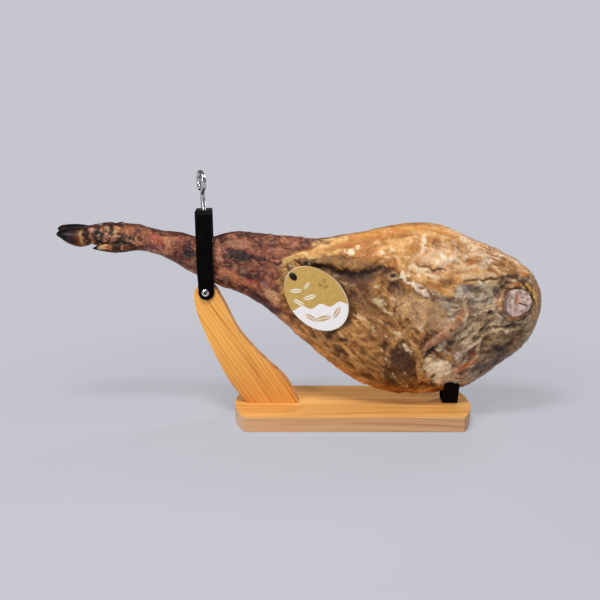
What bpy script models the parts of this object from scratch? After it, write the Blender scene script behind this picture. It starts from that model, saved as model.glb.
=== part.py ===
"""A whole cured ham clamped in its pine ham stand.

Metres, +Z up, +X along the board towards the thick end of the ham, -Y towards the cut meat face.
The origin is the centre of the board's underside, where the stand rests.
"""

import math

import bmesh
import bpy
import numpy as np
from mathutils import Matrix, Vector

# ---- board -------------------------------------------------------------------------------
BOARD_LENGTH = 0.380
BOARD_WIDTH = 0.170
BOARD_THICK = 0.024
BOARD_END_BOW = 0.020          # how far each end bulges past the straight sides
EDGE_ROUND = 0.0012            # eased wooden edges
GAP = 0.0003                   # clearance between pieces that touch

# ---- arm ---------------------------------------------------------------------------------
ARM_THICK = 0.024
PIVOT = Vector((-0.2330, 0.0, 0.2060))   # the bolt that joins bracket and arm
ARM_TOP_RADIUS = 0.0195
ARM_TOP_CENTRE = (-0.2328, 0.1995)
# The back edge and the front edge of the arm, from the rounded top down to the board.
ARM_BACK_EDGE = [(-0.2490, 0.1780), (-0.2344, 0.1364), (-0.2160, 0.0952), (-0.1911, 0.0502)]
ARM_FOOT_BACK = -0.1685
ARM_FRONT_EDGE = [(-0.2017, 0.1820), (-0.1832, 0.1446), (-0.1644, 0.1200), (-0.1391, 0.0936), (-0.1050, 0.0600)]
ARM_FOOT_FRONT = -0.0863

# ---- bracket: a strip bent into an upside-down U, in its own frame at the pivot -----------
STRIP_WIDTH = 0.0250
STRIP_THICK = 0.0030
BRACKET_LEAN = math.radians(-0.8)   # tips towards the hoof
BRACKET_TWIST = math.radians(4.0)   # turned a little on its loose bolt
BRACKET_LOW_INNER = 0.0132          # half the gap where it grips the arm
BRACKET_TOP_INNER = 0.0320          # half the gap round the shank
BRACKET_END_RADIUS = 0.0123
BRACKET_JOGGLE_START = 0.0165
BRACKET_JOGGLE_END = 0.0390
BRACKET_HEIGHT = 0.1290             # top face above the pivot
BRACKET_BEND = 0.0065               # outer radius of the two top bends

# ---- pivot bolt ----------------------------------------------------------------------------
BOLT_RADIUS = 0.0030
BOLT_HEAD_RADIUS = 0.0060
BOLT_HEAD_HEIGHT = 0.0034
BOLT_HOLE_RADIUS = 0.0034
NUT_RADIUS = 0.0058
NUT_HEIGHT = 0.0050

# ---- eye screw, in the bracket's frame -----------------------------------------------------
SCREW_RADIUS = 0.0040
SCREW_HOLE_RADIUS = 0.0043
SCREW_TIP = 0.0868                  # above the pivot, just clear of the shank
SCREW_NECK = 0.1495
SCREW_LEAN = math.radians(-3.0)      # play in the bracket's hole
EYE_RADIUS = 0.0140                 # middle of the wire
EYE_CENTRE = 0.1725
EYE_TURN = math.radians(-72.0)      # how the ring is turned about the screw's own axis
EYE_START = math.radians(-52.0)
EYE_END = math.radians(236.0)

# ---- cradle: a flared U of the same strip, screwed to the board ----------------------------
CRADLE_X = 0.1572
CRADLE_WIDTH = 0.0245
CRADLE_BASE_HALF = 0.0170
CRADLE_TOP_HALF = 0.0320
CRADLE_HEIGHT = 0.0395
CRADLE_SCREW_RADIUS = 0.0020
CRADLE_SCREW_HEAD = 0.0040

# ---- ham -----------------------------------------------------------------------------------
# Ribs from the pastern to the round butt end.  Each rib runs from a point on the upper edge
# to a point on the lower edge, and bulges forwards and backwards from that line.
# (upper x, upper z, lower x, lower z, forward bulge, backward bulge, sharpness of lower edge)
HAM_RIBS = [
    (-0.4300, 0.3075, -0.4280, 0.2815, 0.0190, 0.0190, 1.00),
    (-0.4050, 0.3118, -0.4050, 0.2800, 0.0225, 0.0225, 1.00),
    (-0.3760, 0.3152, -0.3760, 0.2718, 0.0235, 0.0235, 1.00),
    (-0.3430, 0.3130, -0.3450, 0.2708, 0.0215, 0.0215, 1.00),
    (-0.3140, 0.3050, -0.3180, 0.2676, 0.0190, 0.0190, 1.00),
    (-0.2730, 0.2996, -0.2830, 0.2523, 0.0215, 0.0215, 1.05),
    (-0.2400, 0.2922, -0.2490, 0.2322, 0.0235, 0.0235, 1.20),
    (-0.2210, 0.2928, -0.2290, 0.2226, 0.0238, 0.0242, 1.30),
    (-0.1980, 0.2998, -0.2060, 0.2120, 0.0265, 0.0275, 1.20),
    (-0.1500, 0.2982, -0.1660, 0.1970, 0.0325, 0.0355, 1.00),
    (-0.1000, 0.2935, -0.1240, 0.1672, 0.0380, 0.0430, 1.00),
    (-0.0580, 0.2892, -0.0780, 0.1250, 0.0430, 0.0505, 1.00),
    (-0.0150, 0.2955, -0.0330, 0.0870, 0.0490, 0.0570, 1.05),
    (0.0400, 0.3062, 0.0200, 0.0525, 0.0540, 0.0625, 1.15),
    (0.0950, 0.3146, 0.0850, 0.0368, 0.0560, 0.0640, 1.25),
    (0.1400, 0.3098, 0.1380, 0.0392, 0.0545, 0.0600, 1.35),
    (0.1850, 0.2905, 0.1850, 0.0502, 0.0500, 0.0550, 1.30),
    (0.2350, 0.2686, 0.2350, 0.0850, 0.0400, 0.0440, 1.10),
    (0.2700, 0.2472, 0.2720, 0.1168, 0.0280, 0.0310, 1.00),
    (0.2880, 0.2280, 0.2905, 0.1450, 0.0185, 0.0205, 1.00),
    (0.2958, 0.2110, 0.2975, 0.1670, 0.0105, 0.0115, 1.00),
]
HAM_END = (0.2996, 0.1900)     # the pole that closes the butt
RIB_STEPS = 56                 # rings along the ham
RING_CROWDING = 0.12           # how much closer the rings stand towards the round butt
RIM_STEPS = 40                 # points round a ring
FACE_FULLNESS = 0.80           # under 1 the meat face is flatter than an ellipse

# Swellings and hollows of the meat face:
# (x, z, half length, half width, tilt in degrees, height; negative is a hollow)
FACE_RELIEF = [
    (-0.036, 0.2400, 0.036, 0.010, -14.0, -0.0070),   # deep crease beside the tag
    (0.0300, 0.2700, 0.090, 0.018, 8.0, 0.0050),      # fat roll along the upper edge
    (0.0750, 0.1100, 0.028, 0.026, 0.0, 0.0035),      # round muscle low on the face
    (0.1420, 0.1500, 0.042, 0.008, 38.0, 0.0060),     # pelvic bone lying in the meat
    (0.1200, 0.1220, 0.040, 0.009, 38.0, -0.0040),    # groove under the pelvic bone
    (0.2550, 0.1830, 0.020, 0.021, 0.0, 0.0060),      # sawn bone end near the butt
    (0.2150, 0.1900, 0.018, 0.036, 0.0, -0.0040),     # dip beside the bone end
]

# Each half of the cloven hoof, from the tip to the hairline:
# (x, top, bottom, half width)
TOE_SECTIONS = [
    (-0.4635, 0.3012, 0.2950, 0.0035),
    (-0.4570, 0.3045, 0.2918, 0.0075),
    (-0.4450, 0.3075, 0.2835, 0.0105),
    (-0.4320, 0.3088, 0.2788, 0.0120),
    (-0.4200, 0.3085, 0.2783, 0.0120),
    (-0.4100, 0.3070, 0.2830, 0.0090),
]
TOE_CENTRE = 0.0128            # half the distance between the two toes
TOE_FAR_RISE = 0.0055          # the far toe is carried a little higher
TOE_FAR_REACH = 0.0045         # and reaches a little further

# The two dew claws, from the tip through the pad of flesh behind them: (x, z, half height, half width)
CLAW_SECTIONS = [
    (-0.4075, 0.2760, 0.0010, 0.0010),
    (-0.4035, 0.2764, 0.0026, 0.0026),
    (-0.3966, 0.2774, 0.0050, 0.0050),
    (-0.3880, 0.2788, 0.0080, 0.0070),
    (-0.3775, 0.2790, 0.0096, 0.0080),
    (-0.3660, 0.2786, 0.0090, 0.0080),
    (-0.3530, 0.2783, 0.0077, 0.0072),
    (-0.3400, 0.2788, 0.0064, 0.0058),
    (-0.3290, 0.2805, 0.0038, 0.0036),
]
CLAW_CENTRE = 0.0148
SECTION_POINTS = 16            # points round a toe or claw
SECTION_STEPS = 2              # steps between two named sections of a toe

# ---- tag -----------------------------------------------------------------------------------
TAG_CENTRE = (-0.0602, 0.2039)
TAG_HALF_LENGTH = 0.0575
TAG_HALF_WIDTH = 0.0422
TAG_EGG = 0.035                # how much wider the low end is
TAG_TILT = math.radians(44.3)  # long axis, below the horizontal
TAG_THICK = 0.0008
TAG_YAW = math.radians(11.0)   # follows the swelling of the ham
RIVET_ALONG = -0.0487          # from the tag's middle, along its long axis
RIVET_ASIDE = -0.0012          # and across it
RIVET_RADIUS = 0.0022
RIVET_HEAD = (0.0072, 0.0050, 0.0018)   # half length, half width, height


# ---- materials and small helpers -----------------------------------------------------------
def make_material(name, colour, roughness, metallic=0.0):
    material = bpy.data.materials.new(name)
    material.use_nodes = True
    shader = material.node_tree.nodes["Principled BSDF"]
    shader.inputs["Base Color"].default_value = (*colour, 1.0)
    shader.inputs["Roughness"].default_value = roughness
    shader.inputs["Metallic"].default_value = metallic
    return material


def make_collection(name):
    collection = bpy.data.collections.new(name)
    bpy.context.scene.collection.children.link(collection)
    return collection


def add_mesh_object(name, bm, collection, material=None):
    mesh = bpy.data.meshes.new(name)
    bm.to_mesh(mesh)
    bm.free()
    obj = bpy.data.objects.new(name, mesh)
    collection.objects.link(obj)
    if material:
        mesh.materials.append(material)
    return obj


def shade_smooth(obj, angle=35.0):
    obj.data.shade_smooth()
    obj.data.set_sharp_from_angle(angle=math.radians(angle))


def as_cutter(obj):
    obj.hide_render = True
    obj.display_type = "WIRE"
    return obj


def add_boolean(obj, other, operation):
    modifier = obj.modifiers.new(operation.title(), "BOOLEAN")
    modifier.operation = operation
    modifier.object = other
    return modifier


def add_cylinder(name, radius, depth, matrix, collection, segments=24, material=None):
    """A capped cylinder whose middle and axis (local Z) are set by the matrix."""
    bm = bmesh.new()
    bmesh.ops.create_cone(bm, cap_ends=True, segments=segments, radius1=radius, radius2=radius, depth=depth)
    obj = add_mesh_object(name, bm, collection, material)
    obj.matrix_world = matrix
    return obj


def along_y(x, y, z):
    """A matrix that lays a local Z axis along world Y at a point."""
    return Matrix.Translation((x, y, z)) @ Matrix.Rotation(math.pi / 2, 4, "X")


def add_plate(name, outline, thickness, to_world, collection, material):
    """A flat outline, filled and extruded by half its thickness each way, as a welded mesh."""
    curve = bpy.data.curves.new(name, "CURVE")
    curve.dimensions = "2D"
    curve.fill_mode = "BOTH"
    curve.extrude = thickness / 2
    spline = curve.splines.new("POLY")
    spline.points.add(len(outline) - 1)
    for point, (u, v) in zip(spline.points, outline):
        point.co = (u, v, 0.0, 1.0)
    spline.use_cyclic_u = True
    source = bpy.data.objects.new(name + "_outline", curve)
    bpy.context.scene.collection.objects.link(source)
    bpy.context.view_layer.update()
    evaluated = source.evaluated_get(bpy.context.evaluated_depsgraph_get())
    bm = bmesh.new()
    bm.from_mesh(bpy.data.meshes.new_from_object(evaluated))
    bpy.data.objects.remove(source)
    bmesh.ops.remove_doubles(bm, verts=bm.verts, dist=0.00001)
    bmesh.ops.recalc_face_normals(bm, faces=bm.faces)
    obj = add_mesh_object(name, bm, collection, material)
    obj.matrix_world = to_world
    return obj


def round_edges(obj, width, segments=2, angle=40.0):
    bevel = obj.modifiers.new("Eased edges", "BEVEL")
    bevel.width = width
    bevel.segments = segments
    bevel.limit_method = "ANGLE"
    bevel.angle_limit = math.radians(angle)
    return bevel


def arc(centre, radius, start, end, steps):
    """Points on an arc, angles in radians, both ends included."""
    angles = np.linspace(start, end, steps + 1)
    return [(centre[0] + radius * math.cos(a), centre[1] + radius * math.sin(a)) for a in angles]


def smooth_through(knots, values, t):
    """A cubic curve through the values at the knots, with slopes taken from the neighbours."""
    knots, values, t = np.asarray(knots, float), np.asarray(values, float), np.asarray(t, float)
    slopes = np.gradient(values, knots, axis=0)
    i = np.clip(np.searchsorted(knots, t) - 1, 0, len(knots) - 2)
    span = knots[i + 1] - knots[i]
    s = ((t - knots[i]) / span)[:, None]
    span = span[:, None]
    return (
        values[i] * (1 + 2 * s) * (1 - s) ** 2
        + slopes[i] * span * s * (1 - s) ** 2
        + values[i + 1] * s**2 * (3 - 2 * s)
        + slopes[i + 1] * span * s**2 * (s - 1)
    )


def spline_points(points, steps):
    """A smooth line through a few hand-placed points, with a number of steps between each pair."""
    points = np.array(points)
    knots = np.concatenate([[0.0], np.cumsum(np.linalg.norm(np.diff(points, axis=0), axis=1))])
    t = np.interp(np.arange((len(points) - 1) * steps + 1) / steps, np.arange(len(points)), knots)
    return smooth_through(knots, points, t)


def loft(name, rings, collection, material, start_pole=None, end_pole=None):
    """Joins rings of equal length with quads; each end is a pole or a flat cap."""
    bm = bmesh.new()
    rows = [[bm.verts.new(point) for point in ring] for ring in rings]
    count = len(rows[0])
    for row, following in zip(rows, rows[1:]):
        for i in range(count):
            j = (i + 1) % count
            bm.faces.new((row[i], row[j], following[j], following[i]))
    for row, pole in ((rows[0], start_pole), (rows[-1], end_pole)):
        if pole is None:
            bm.faces.new(row)
        else:
            tip = bm.verts.new(pole)
            for i in range(count):
                bm.faces.new((row[i], row[(i + 1) % count], tip))
    bmesh.ops.recalc_face_normals(bm, faces=bm.faces)
    bmesh.ops.triangulate(bm, faces=bm.faces)
    return add_mesh_object(name, bm, collection, material)


# ---- wooden pieces -------------------------------------------------------------------------
def board_outline():
    """Two straight sides joined by shallow arcs."""
    half_width = BOARD_WIDTH / 2
    radius = (half_width**2 + BOARD_END_BOW**2) / (2 * BOARD_END_BOW)
    reach = math.asin(half_width / radius)
    centre = BOARD_LENGTH / 2 - radius
    right = arc((centre, 0.0), radius, -reach, reach, 14)
    left = arc((-centre, 0.0), radius, math.pi - reach, math.pi + reach, 14)
    return right + left


def make_board(collection, cutters, material):
    board = add_plate(
        "board", board_outline(), BOARD_THICK, Matrix.Translation((0, 0, BOARD_THICK / 2)), collection, material
    )
    round_edges(board, EDGE_ROUND)
    depth = BOARD_THICK
    pilot = add_cylinder(
        "cut_pilot_hole", CRADLE_SCREW_RADIUS + 0.0004, depth,
        Matrix.Translation((CRADLE_X, 0, BOARD_THICK + depth / 2 - 0.0165)), cutters, 12,
    )
    add_boolean(board, as_cutter(pilot), "DIFFERENCE")
    return board


def arm_outline():
    """Down the back edge, along the foot, up the front edge and over the round top."""
    cx, cz = ARM_TOP_CENTRE
    top = arc((cx, cz), ARM_TOP_RADIUS, math.radians(18), math.radians(182), 14)
    foot = BOARD_THICK + GAP
    back = spline_points([top[-1], *ARM_BACK_EDGE, (ARM_FOOT_BACK, foot)], 4)[1:]
    front = spline_points([(ARM_FOOT_FRONT, foot), *reversed(ARM_FRONT_EDGE), top[0]], 4)[:-1]
    return [*top, *map(tuple, back), *map(tuple, front)]


def make_arm(collection, cutters, material):
    stand_up = Matrix.Rotation(math.pi / 2, 4, "X")     # outline x, z to world X, Z
    arm = add_plate("arm", arm_outline(), ARM_THICK, stand_up, collection, material)
    round_edges(arm, EDGE_ROUND)
    hole = add_cylinder("cut_arm_hole", BOLT_HOLE_RADIUS, 0.06, along_y(*PIVOT), cutters, 20)
    add_boolean(arm, as_cutter(hole), "DIFFERENCE")
    return arm


# ---- steel pieces --------------------------------------------------------------------------
def strip_outline(centre_line, thickness):
    """The section of a bent strip: its centre line offset to both sides."""
    points = np.array(centre_line)
    tangents = np.gradient(points, axis=0)
    tangents /= np.linalg.norm(tangents, axis=1)[:, None]
    normals = np.stack([-tangents[:, 1], tangents[:, 0]], axis=1) * thickness / 2
    return [*map(tuple, points + normals), *map(tuple, (points - normals)[::-1])]


def bracket_centre_line():
    """Half the bracket in the Y-Z plane, mirrored: low leg, joggle, high leg, bend, top."""
    low = BRACKET_LOW_INNER + STRIP_THICK / 2
    high = BRACKET_TOP_INNER + STRIP_THICK / 2
    top = BRACKET_HEIGHT - STRIP_THICK / 2
    bend = BRACKET_BEND - STRIP_THICK / 2
    half = [(low, -0.030), (low, BRACKET_JOGGLE_START - 0.003)]
    half += [(low + 0.0006, BRACKET_JOGGLE_START), (high - 0.0006, BRACKET_JOGGLE_END)]
    half += [(high, BRACKET_JOGGLE_END + 0.003)]
    half += arc((high - bend, top - bend), bend, 0.0, math.pi / 2, 5)
    return half + [(-y, z) for y, z in reversed(half)]


def bracket_side_outline():
    """The strip seen from the front: square top corners, a round lower end."""
    half = STRIP_WIDTH / 2
    low = arc((0.0, 0.0), BRACKET_END_RADIUS, math.pi, 2 * math.pi, 15)
    return [(half, 0.006), (half, 0.2), (-half, 0.2), (-half, 0.006), *low]


def make_bracket(frame, collection, cutters, material):
    across = Matrix(((0, 0, 1, 0), (1, 0, 0, 0), (0, 1, 0, 0), (0, 0, 0, 1)))   # outline y, z; extruded along X
    outline = strip_outline(bracket_centre_line(), STRIP_THICK)
    bracket = add_plate("bracket", outline, 2 * STRIP_WIDTH, frame @ across, collection, material)
    upright = frame @ Matrix.Rotation(math.pi / 2, 4, "X")
    shape = add_plate("cut_bracket_sides", bracket_side_outline(), 0.2, upright, cutters, None)
    add_boolean(bracket, as_cutter(shape), "INTERSECT")
    bolt_hole = add_cylinder(
        "cut_bracket_bolt_hole", BOLT_HOLE_RADIUS + 0.0006, 0.1, along_y(*PIVOT), cutters, 20
    )
    add_boolean(bracket, as_cutter(bolt_hole), "DIFFERENCE")
    screw_hole = add_cylinder(
        "cut_bracket_screw_hole", SCREW_HOLE_RADIUS, 0.02,
        frame @ Matrix.Translation((0, 0, BRACKET_HEIGHT)), cutters, 24,
    )
    add_boolean(bracket, as_cutter(screw_hole), "DIFFERENCE")
    return bracket


def turned(name, profile, matrix, collection, material, steps=24):
    """A solid of revolution from an (r, z) profile that runs down its outer side."""
    bm = bmesh.new()
    verts = [bm.verts.new((r, 0.0, z)) for r, z in profile]
    for a, b in zip(verts, verts[1:]):
        bm.edges.new((a, b))
    obj = add_mesh_object(name, bm, collection, material)
    screw = obj.modifiers.new("Turn", "SCREW")
    screw.steps = steps
    screw.render_steps = steps
    screw.use_merge_vertices = True
    screw.merge_threshold = 0.00001
    obj.matrix_world = matrix
    return obj


def make_bolt(collection, material):
    """Domed head in front, plain shank through both legs and the arm."""
    seat = BRACKET_LOW_INNER + STRIP_THICK + 0.0009
    head = [(BOLT_HEAD_RADIUS * math.sin(a), seat + BOLT_HEAD_HEIGHT * (0.35 + 0.65 * math.cos(a)))
            for a in np.linspace(0.0, math.pi / 2, 6)]
    head[0] = (0.0, seat + BOLT_HEAD_HEIGHT)
    profile = [*head, (BOLT_HEAD_RADIUS, seat), (BOLT_RADIUS, seat), (BOLT_RADIUS, -seat - NUT_HEIGHT - 0.002)]
    profile.append((0.0, -seat - NUT_HEIGHT - 0.002))
    facing_front = Matrix.Translation(PIVOT) @ Matrix.Rotation(math.pi / 2, 4, "X")
    return turned("pivot_bolt", profile, facing_front, collection, material)


def make_nut(collection, cutters, material):
    seat = BRACKET_LOW_INNER + STRIP_THICK + 0.0009
    middle = along_y(PIVOT.x, seat + NUT_HEIGHT / 2, PIVOT.z)
    nut = add_cylinder("pivot_nut", NUT_RADIUS, NUT_HEIGHT, middle, collection, 6, material)
    bore = add_cylinder("cut_nut_bore", BOLT_RADIUS + GAP, 3 * NUT_HEIGHT, middle, cutters, 20)
    add_boolean(nut, as_cutter(bore), "DIFFERENCE")
    return nut


def make_eye_screw(frame, collection, material):
    """One bent rod: straight up from the shank, out at the neck, then round the eye."""
    rod = [(0.0, SCREW_TIP), (0.0, (SCREW_TIP + SCREW_NECK) / 2), (0.0, SCREW_NECK)]
    ring = arc((0.0, EYE_CENTRE), EYE_RADIUS, EYE_START, EYE_END, 22)
    neck = [(0.0012, SCREW_NECK + 0.0050), (0.0045, SCREW_NECK + 0.0090)]
    path = [*rod, *neck, *ring]
    curve = bpy.data.curves.new("eye_screw", "CURVE")
    curve.dimensions = "3D"
    curve.bevel_depth = SCREW_RADIUS
    curve.bevel_resolution = 3
    curve.use_fill_caps = True
    spline = curve.splines.new("POLY")
    spline.points.add(len(path) - 1)
    for point, (u, z) in zip(spline.points, path):
        point.co = (u * math.cos(EYE_TURN), u * math.sin(EYE_TURN), z, 1.0)
    curve.materials.append(material)
    screw = bpy.data.objects.new("eye_screw", curve)
    collection.objects.link(screw)
    hole = Matrix.Translation((0, 0, BRACKET_HEIGHT))
    screw.matrix_world = frame @ hole @ Matrix.Rotation(SCREW_LEAN, 4, "Y") @ hole.inverted()
    return screw


def cradle_centre_line():
    """Upright, base and upright of the flared cradle, in the Y-Z plane above the board."""
    base = BOARD_THICK + GAP + STRIP_THICK / 2
    foot = CRADLE_BASE_HALF - STRIP_THICK / 2
    head = CRADLE_TOP_HALF - STRIP_THICK / 2
    low = [(foot - 0.0030, base), (foot - 0.0008, base + 0.0008), (foot, base + 0.0030)]
    rise = CRADLE_HEIGHT - 0.0045
    over = 1.3                         # the strip runs past the top, where the outline trims it
    half = low + [(foot + (head - foot) * over, base + 0.0030 + rise * over)]
    return [(-y, z) for y, z in reversed(half)] + half


def cradle_side_outline():
    """The uprights seen from the front: a rounded hump and a small tooth."""
    half = CRADLE_WIDTH / 2
    top = BOARD_THICK + CRADLE_HEIGHT
    left, right = CRADLE_X - half, CRADLE_X + half
    crown = [(right, top - 0.0050), (right - 0.0015, top - 0.0022), (right - 0.0040, top - 0.0012)]
    crown += [(right - 0.0065, top - 0.0026), (CRADLE_X + 0.0015, top - 0.0006)]
    crown += [(CRADLE_X - 0.0030, top), (CRADLE_X - 0.0075, top - 0.0008), (left + 0.0010, top - 0.0030)]
    return [(left, BOARD_THICK - 0.01), (right, BOARD_THICK - 0.01), *crown, (left, top - 0.0045)]


def make_cradle(collection, cutters, material):
    across = Matrix(((0, 0, 1, CRADLE_X), (1, 0, 0, 0), (0, 1, 0, 0), (0, 0, 0, 1)))
    outline = strip_outline(cradle_centre_line(), STRIP_THICK)
    cradle = add_plate("cradle", outline, 2 * CRADLE_WIDTH, across, collection, material)
    upright = Matrix.Rotation(math.pi / 2, 4, "X")
    shape = add_plate("cut_cradle_sides", cradle_side_outline(), 0.2, upright, cutters, None)
    add_boolean(cradle, as_cutter(shape), "INTERSECT")
    hole = add_cylinder(
        "cut_cradle_hole", CRADLE_SCREW_RADIUS + 0.0004, 0.02,
        Matrix.Translation((CRADLE_X, 0, BOARD_THICK)), cutters, 12,
    )
    add_boolean(cradle, as_cutter(hole), "DIFFERENCE")
    return cradle


def make_cradle_screw(collection, material):
    seat = BOARD_THICK + GAP + STRIP_THICK + GAP
    profile = [(0.0, seat + 0.0022), (CRADLE_SCREW_HEAD * 0.6, seat + 0.0018), (CRADLE_SCREW_HEAD, seat + 0.0006)]
    profile += [(CRADLE_SCREW_HEAD, seat), (CRADLE_SCREW_RADIUS, seat)]
    profile += [(CRADLE_SCREW_RADIUS, BOARD_THICK - 0.010), (0.0, BOARD_THICK - 0.013)]
    return turned("cradle_screw", profile, Matrix.Translation((CRADLE_X, 0, 0)), collection, material, 16)


# ---- ham -----------------------------------------------------------------------------------
def rib_knots():
    """How far along the ham each rib is, measured on the mean of its two edges."""
    ribs = np.array(HAM_RIBS)
    upper = np.linalg.norm(np.diff(ribs[:, 0:2], axis=0), axis=1)
    lower = np.linalg.norm(np.diff(ribs[:, 2:4], axis=0), axis=1)
    return np.concatenate([[0.0], np.cumsum((upper + lower) / 2)])


def face_relief(x, z):
    """Height of the swellings and hollows of the meat face at (x, z)."""
    height = np.zeros_like(x)
    for cx, cz, length, width, tilt, rise in FACE_RELIEF:
        c, s = math.cos(math.radians(tilt)), math.sin(math.radians(tilt))
        along = ((x - cx) * c + (z - cz) * s) / length
        aside = ((z - cz) * c - (x - cx) * s) / width
        height += rise * np.exp(-(along**2 + aside**2))
    return height


def ham_rings():
    """Rings of points: each is a rib line swelling forwards and backwards from it."""
    knots = rib_knots()
    share = np.linspace(0.0, 1.0, RIB_STEPS + 1)
    t = knots[-1] * ((1 + RING_CROWDING) * share - RING_CROWDING * share**6)
    ribs = smooth_through(knots, HAM_RIBS, t)
    angle = np.arange(RIM_STEPS) * 2 * math.pi / RIM_STEPS
    rings = []
    for upper_x, upper_z, lower_x, lower_z, forward, backward, edge in ribs:
        up, out = np.sin(angle), np.cos(angle)
        x = (upper_x + lower_x) / 2 + (upper_x - lower_x) / 2 * up
        z = (upper_z + lower_z) / 2 + (upper_z - lower_z) / 2 * up
        body = min(1.0, max(0.0, (forward - 0.030) / 0.020))
        front_power = 1.0 - (1.0 - FACE_FULLNESS) * body
        power = np.where(up < 0, np.maximum(edge * (0.4 + 0.6 * up**2), front_power), front_power)
        power = np.where(out > 0, np.where(up < 0, 1.0 + (edge - 1.0) * up**2, 1.0), power)
        swell = np.abs(out) ** power
        y = np.where(out > 0, backward, -forward) * swell
        y = np.where(out < 0, y - body * face_relief(x, z) * swell, y)
        rings.append(np.stack([x, y, z], axis=1))
    return rings


def section_ring(x, y, z, half_height, half_width):
    angles = np.arange(SECTION_POINTS) * 2 * math.pi / SECTION_POINTS
    return [(x, y + half_width * math.cos(a), z + half_height * math.sin(a)) for a in angles]


def refine(sections):
    """The named sections with smooth ones between them."""
    sections = np.array(sections)
    steps = np.linspace(0, len(sections) - 1, (len(sections) - 1) * SECTION_STEPS + 1)
    return smooth_through(np.arange(len(sections)), sections, steps)


def make_toe(name, side, collection):
    """One half of the hoof; side is -1 for the near toe and +1 for the far one."""
    rise, reach = (TOE_FAR_RISE, TOE_FAR_REACH) if side > 0 else (0.0, 0.0)
    root, tip = TOE_SECTIONS[-1][0], TOE_SECTIONS[0][0]
    rings = []
    for x, top, bottom, half_width in refine(TOE_SECTIONS):
        share = (x - root) / (tip - root)
        middle = (top + bottom) / 2 + rise * share
        rings.append(section_ring(x - reach * share, side * TOE_CENTRE, middle, (top - bottom) / 2, half_width))
    return loft(name, rings, collection, None)


def make_claw(name, side, collection):
    rings = [section_ring(x, side * CLAW_CENTRE, z, height, width) for x, z, height, width in CLAW_SECTIONS]
    return loft(name, rings, collection, None)


def make_ham(collection, cutters, material):
    end = (HAM_END[0], 0.0, HAM_END[1])
    ham = loft("ham", ham_rings(), collection, material, end_pole=end)
    for side, place in ((-1, "near"), (1, "far")):
        toe = make_toe("join_toe_" + place, side, cutters)
        add_boolean(ham, as_cutter(toe), "UNION")
        claw = make_claw("join_claw_" + place, side, cutters)
        add_boolean(ham, as_cutter(claw), "UNION")
    shade_smooth(ham, 50.0)
    return ham


# ---- tag -----------------------------------------------------------------------------------
def tag_outline():
    """An egg: an ellipse that is wider towards one end."""
    angles = np.arange(48) * 2 * math.pi / 48
    return [
        (TAG_HALF_LENGTH * math.cos(a), TAG_HALF_WIDTH * math.sin(a) * (1 + TAG_EGG * math.cos(a))) for a in angles
    ]


def tag_frame():
    """Outline u along the long axis, v across it; the plate's local +Z faces forwards (-Y)."""
    cx, cz = TAG_CENTRE
    along = Vector((math.cos(TAG_TILT), 0.0, -math.sin(TAG_TILT)))
    across = Vector((math.sin(TAG_TILT), 0.0, math.cos(TAG_TILT)))
    yaw = Matrix.Rotation(-TAG_YAW, 3, "Z")
    along, across = yaw @ along, yaw @ across
    outward = along.cross(across)
    depth = tag_depth(cx, cz, along, across, outward)
    axes = Matrix((along, across, outward)).transposed().to_4x4()
    return Matrix.Translation((cx, depth, cz)) @ axes


def tag_depth(cx, cz, along, across, outward):
    """The Y at which the tag just clears the meat face everywhere behind it."""
    points = np.concatenate(ham_rings())
    points = points[points[:, 1] < 0]
    offset = points - np.array((cx, 0.0, cz))
    u = offset @ np.array(along)
    v = offset @ np.array(across)
    behind = (u / TAG_HALF_LENGTH) ** 2 + (v / TAG_HALF_WIDTH) ** 2 < 1.15
    reach = (offset[behind] @ np.array(outward)).max()
    return (reach + 0.0012) / outward.y


def make_tag(collection, cutters, material):
    frame = tag_frame()
    tag = add_plate("tag", tag_outline(), TAG_THICK, frame, collection, material)
    hole = add_cylinder(
        "cut_tag_hole", RIVET_RADIUS + GAP, 0.02, frame @ Matrix.Translation((RIVET_ALONG, RIVET_ASIDE, 0)), cutters, 16
    )
    add_boolean(tag, as_cutter(hole), "DIFFERENCE")
    return tag


def make_rivet(collection, cutters, material):
    """An oval button in front of the tag, on a pin that goes through to the skin."""
    length, width, height = RIVET_HEAD
    frame = tag_frame() @ Matrix.Translation((RIVET_ALONG, RIVET_ASIDE, 0))
    bm = bmesh.new()
    bmesh.ops.create_uvsphere(bm, u_segments=16, v_segments=8, radius=1.0)
    lower = [v for v in bm.verts if v.co.z < -0.001]
    for v in lower:
        v.co.z = -0.2
    bmesh.ops.scale(bm, vec=(length, width, height), verts=bm.verts)
    bmesh.ops.translate(bm, vec=(0, 0, TAG_THICK / 2 + GAP + 0.2 * height), verts=bm.verts)
    rivet = add_mesh_object("tag_rivet", bm, collection, material)
    rivet.matrix_world = frame
    pin_length = 0.0030
    pin = add_cylinder(
        "join_rivet_pin", RIVET_RADIUS, pin_length,
        frame @ Matrix.Translation((0, 0, TAG_THICK - pin_length / 2 + 0.0006)), cutters, 16,
    )
    add_boolean(rivet, as_cutter(pin), "UNION")
    return rivet


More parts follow.
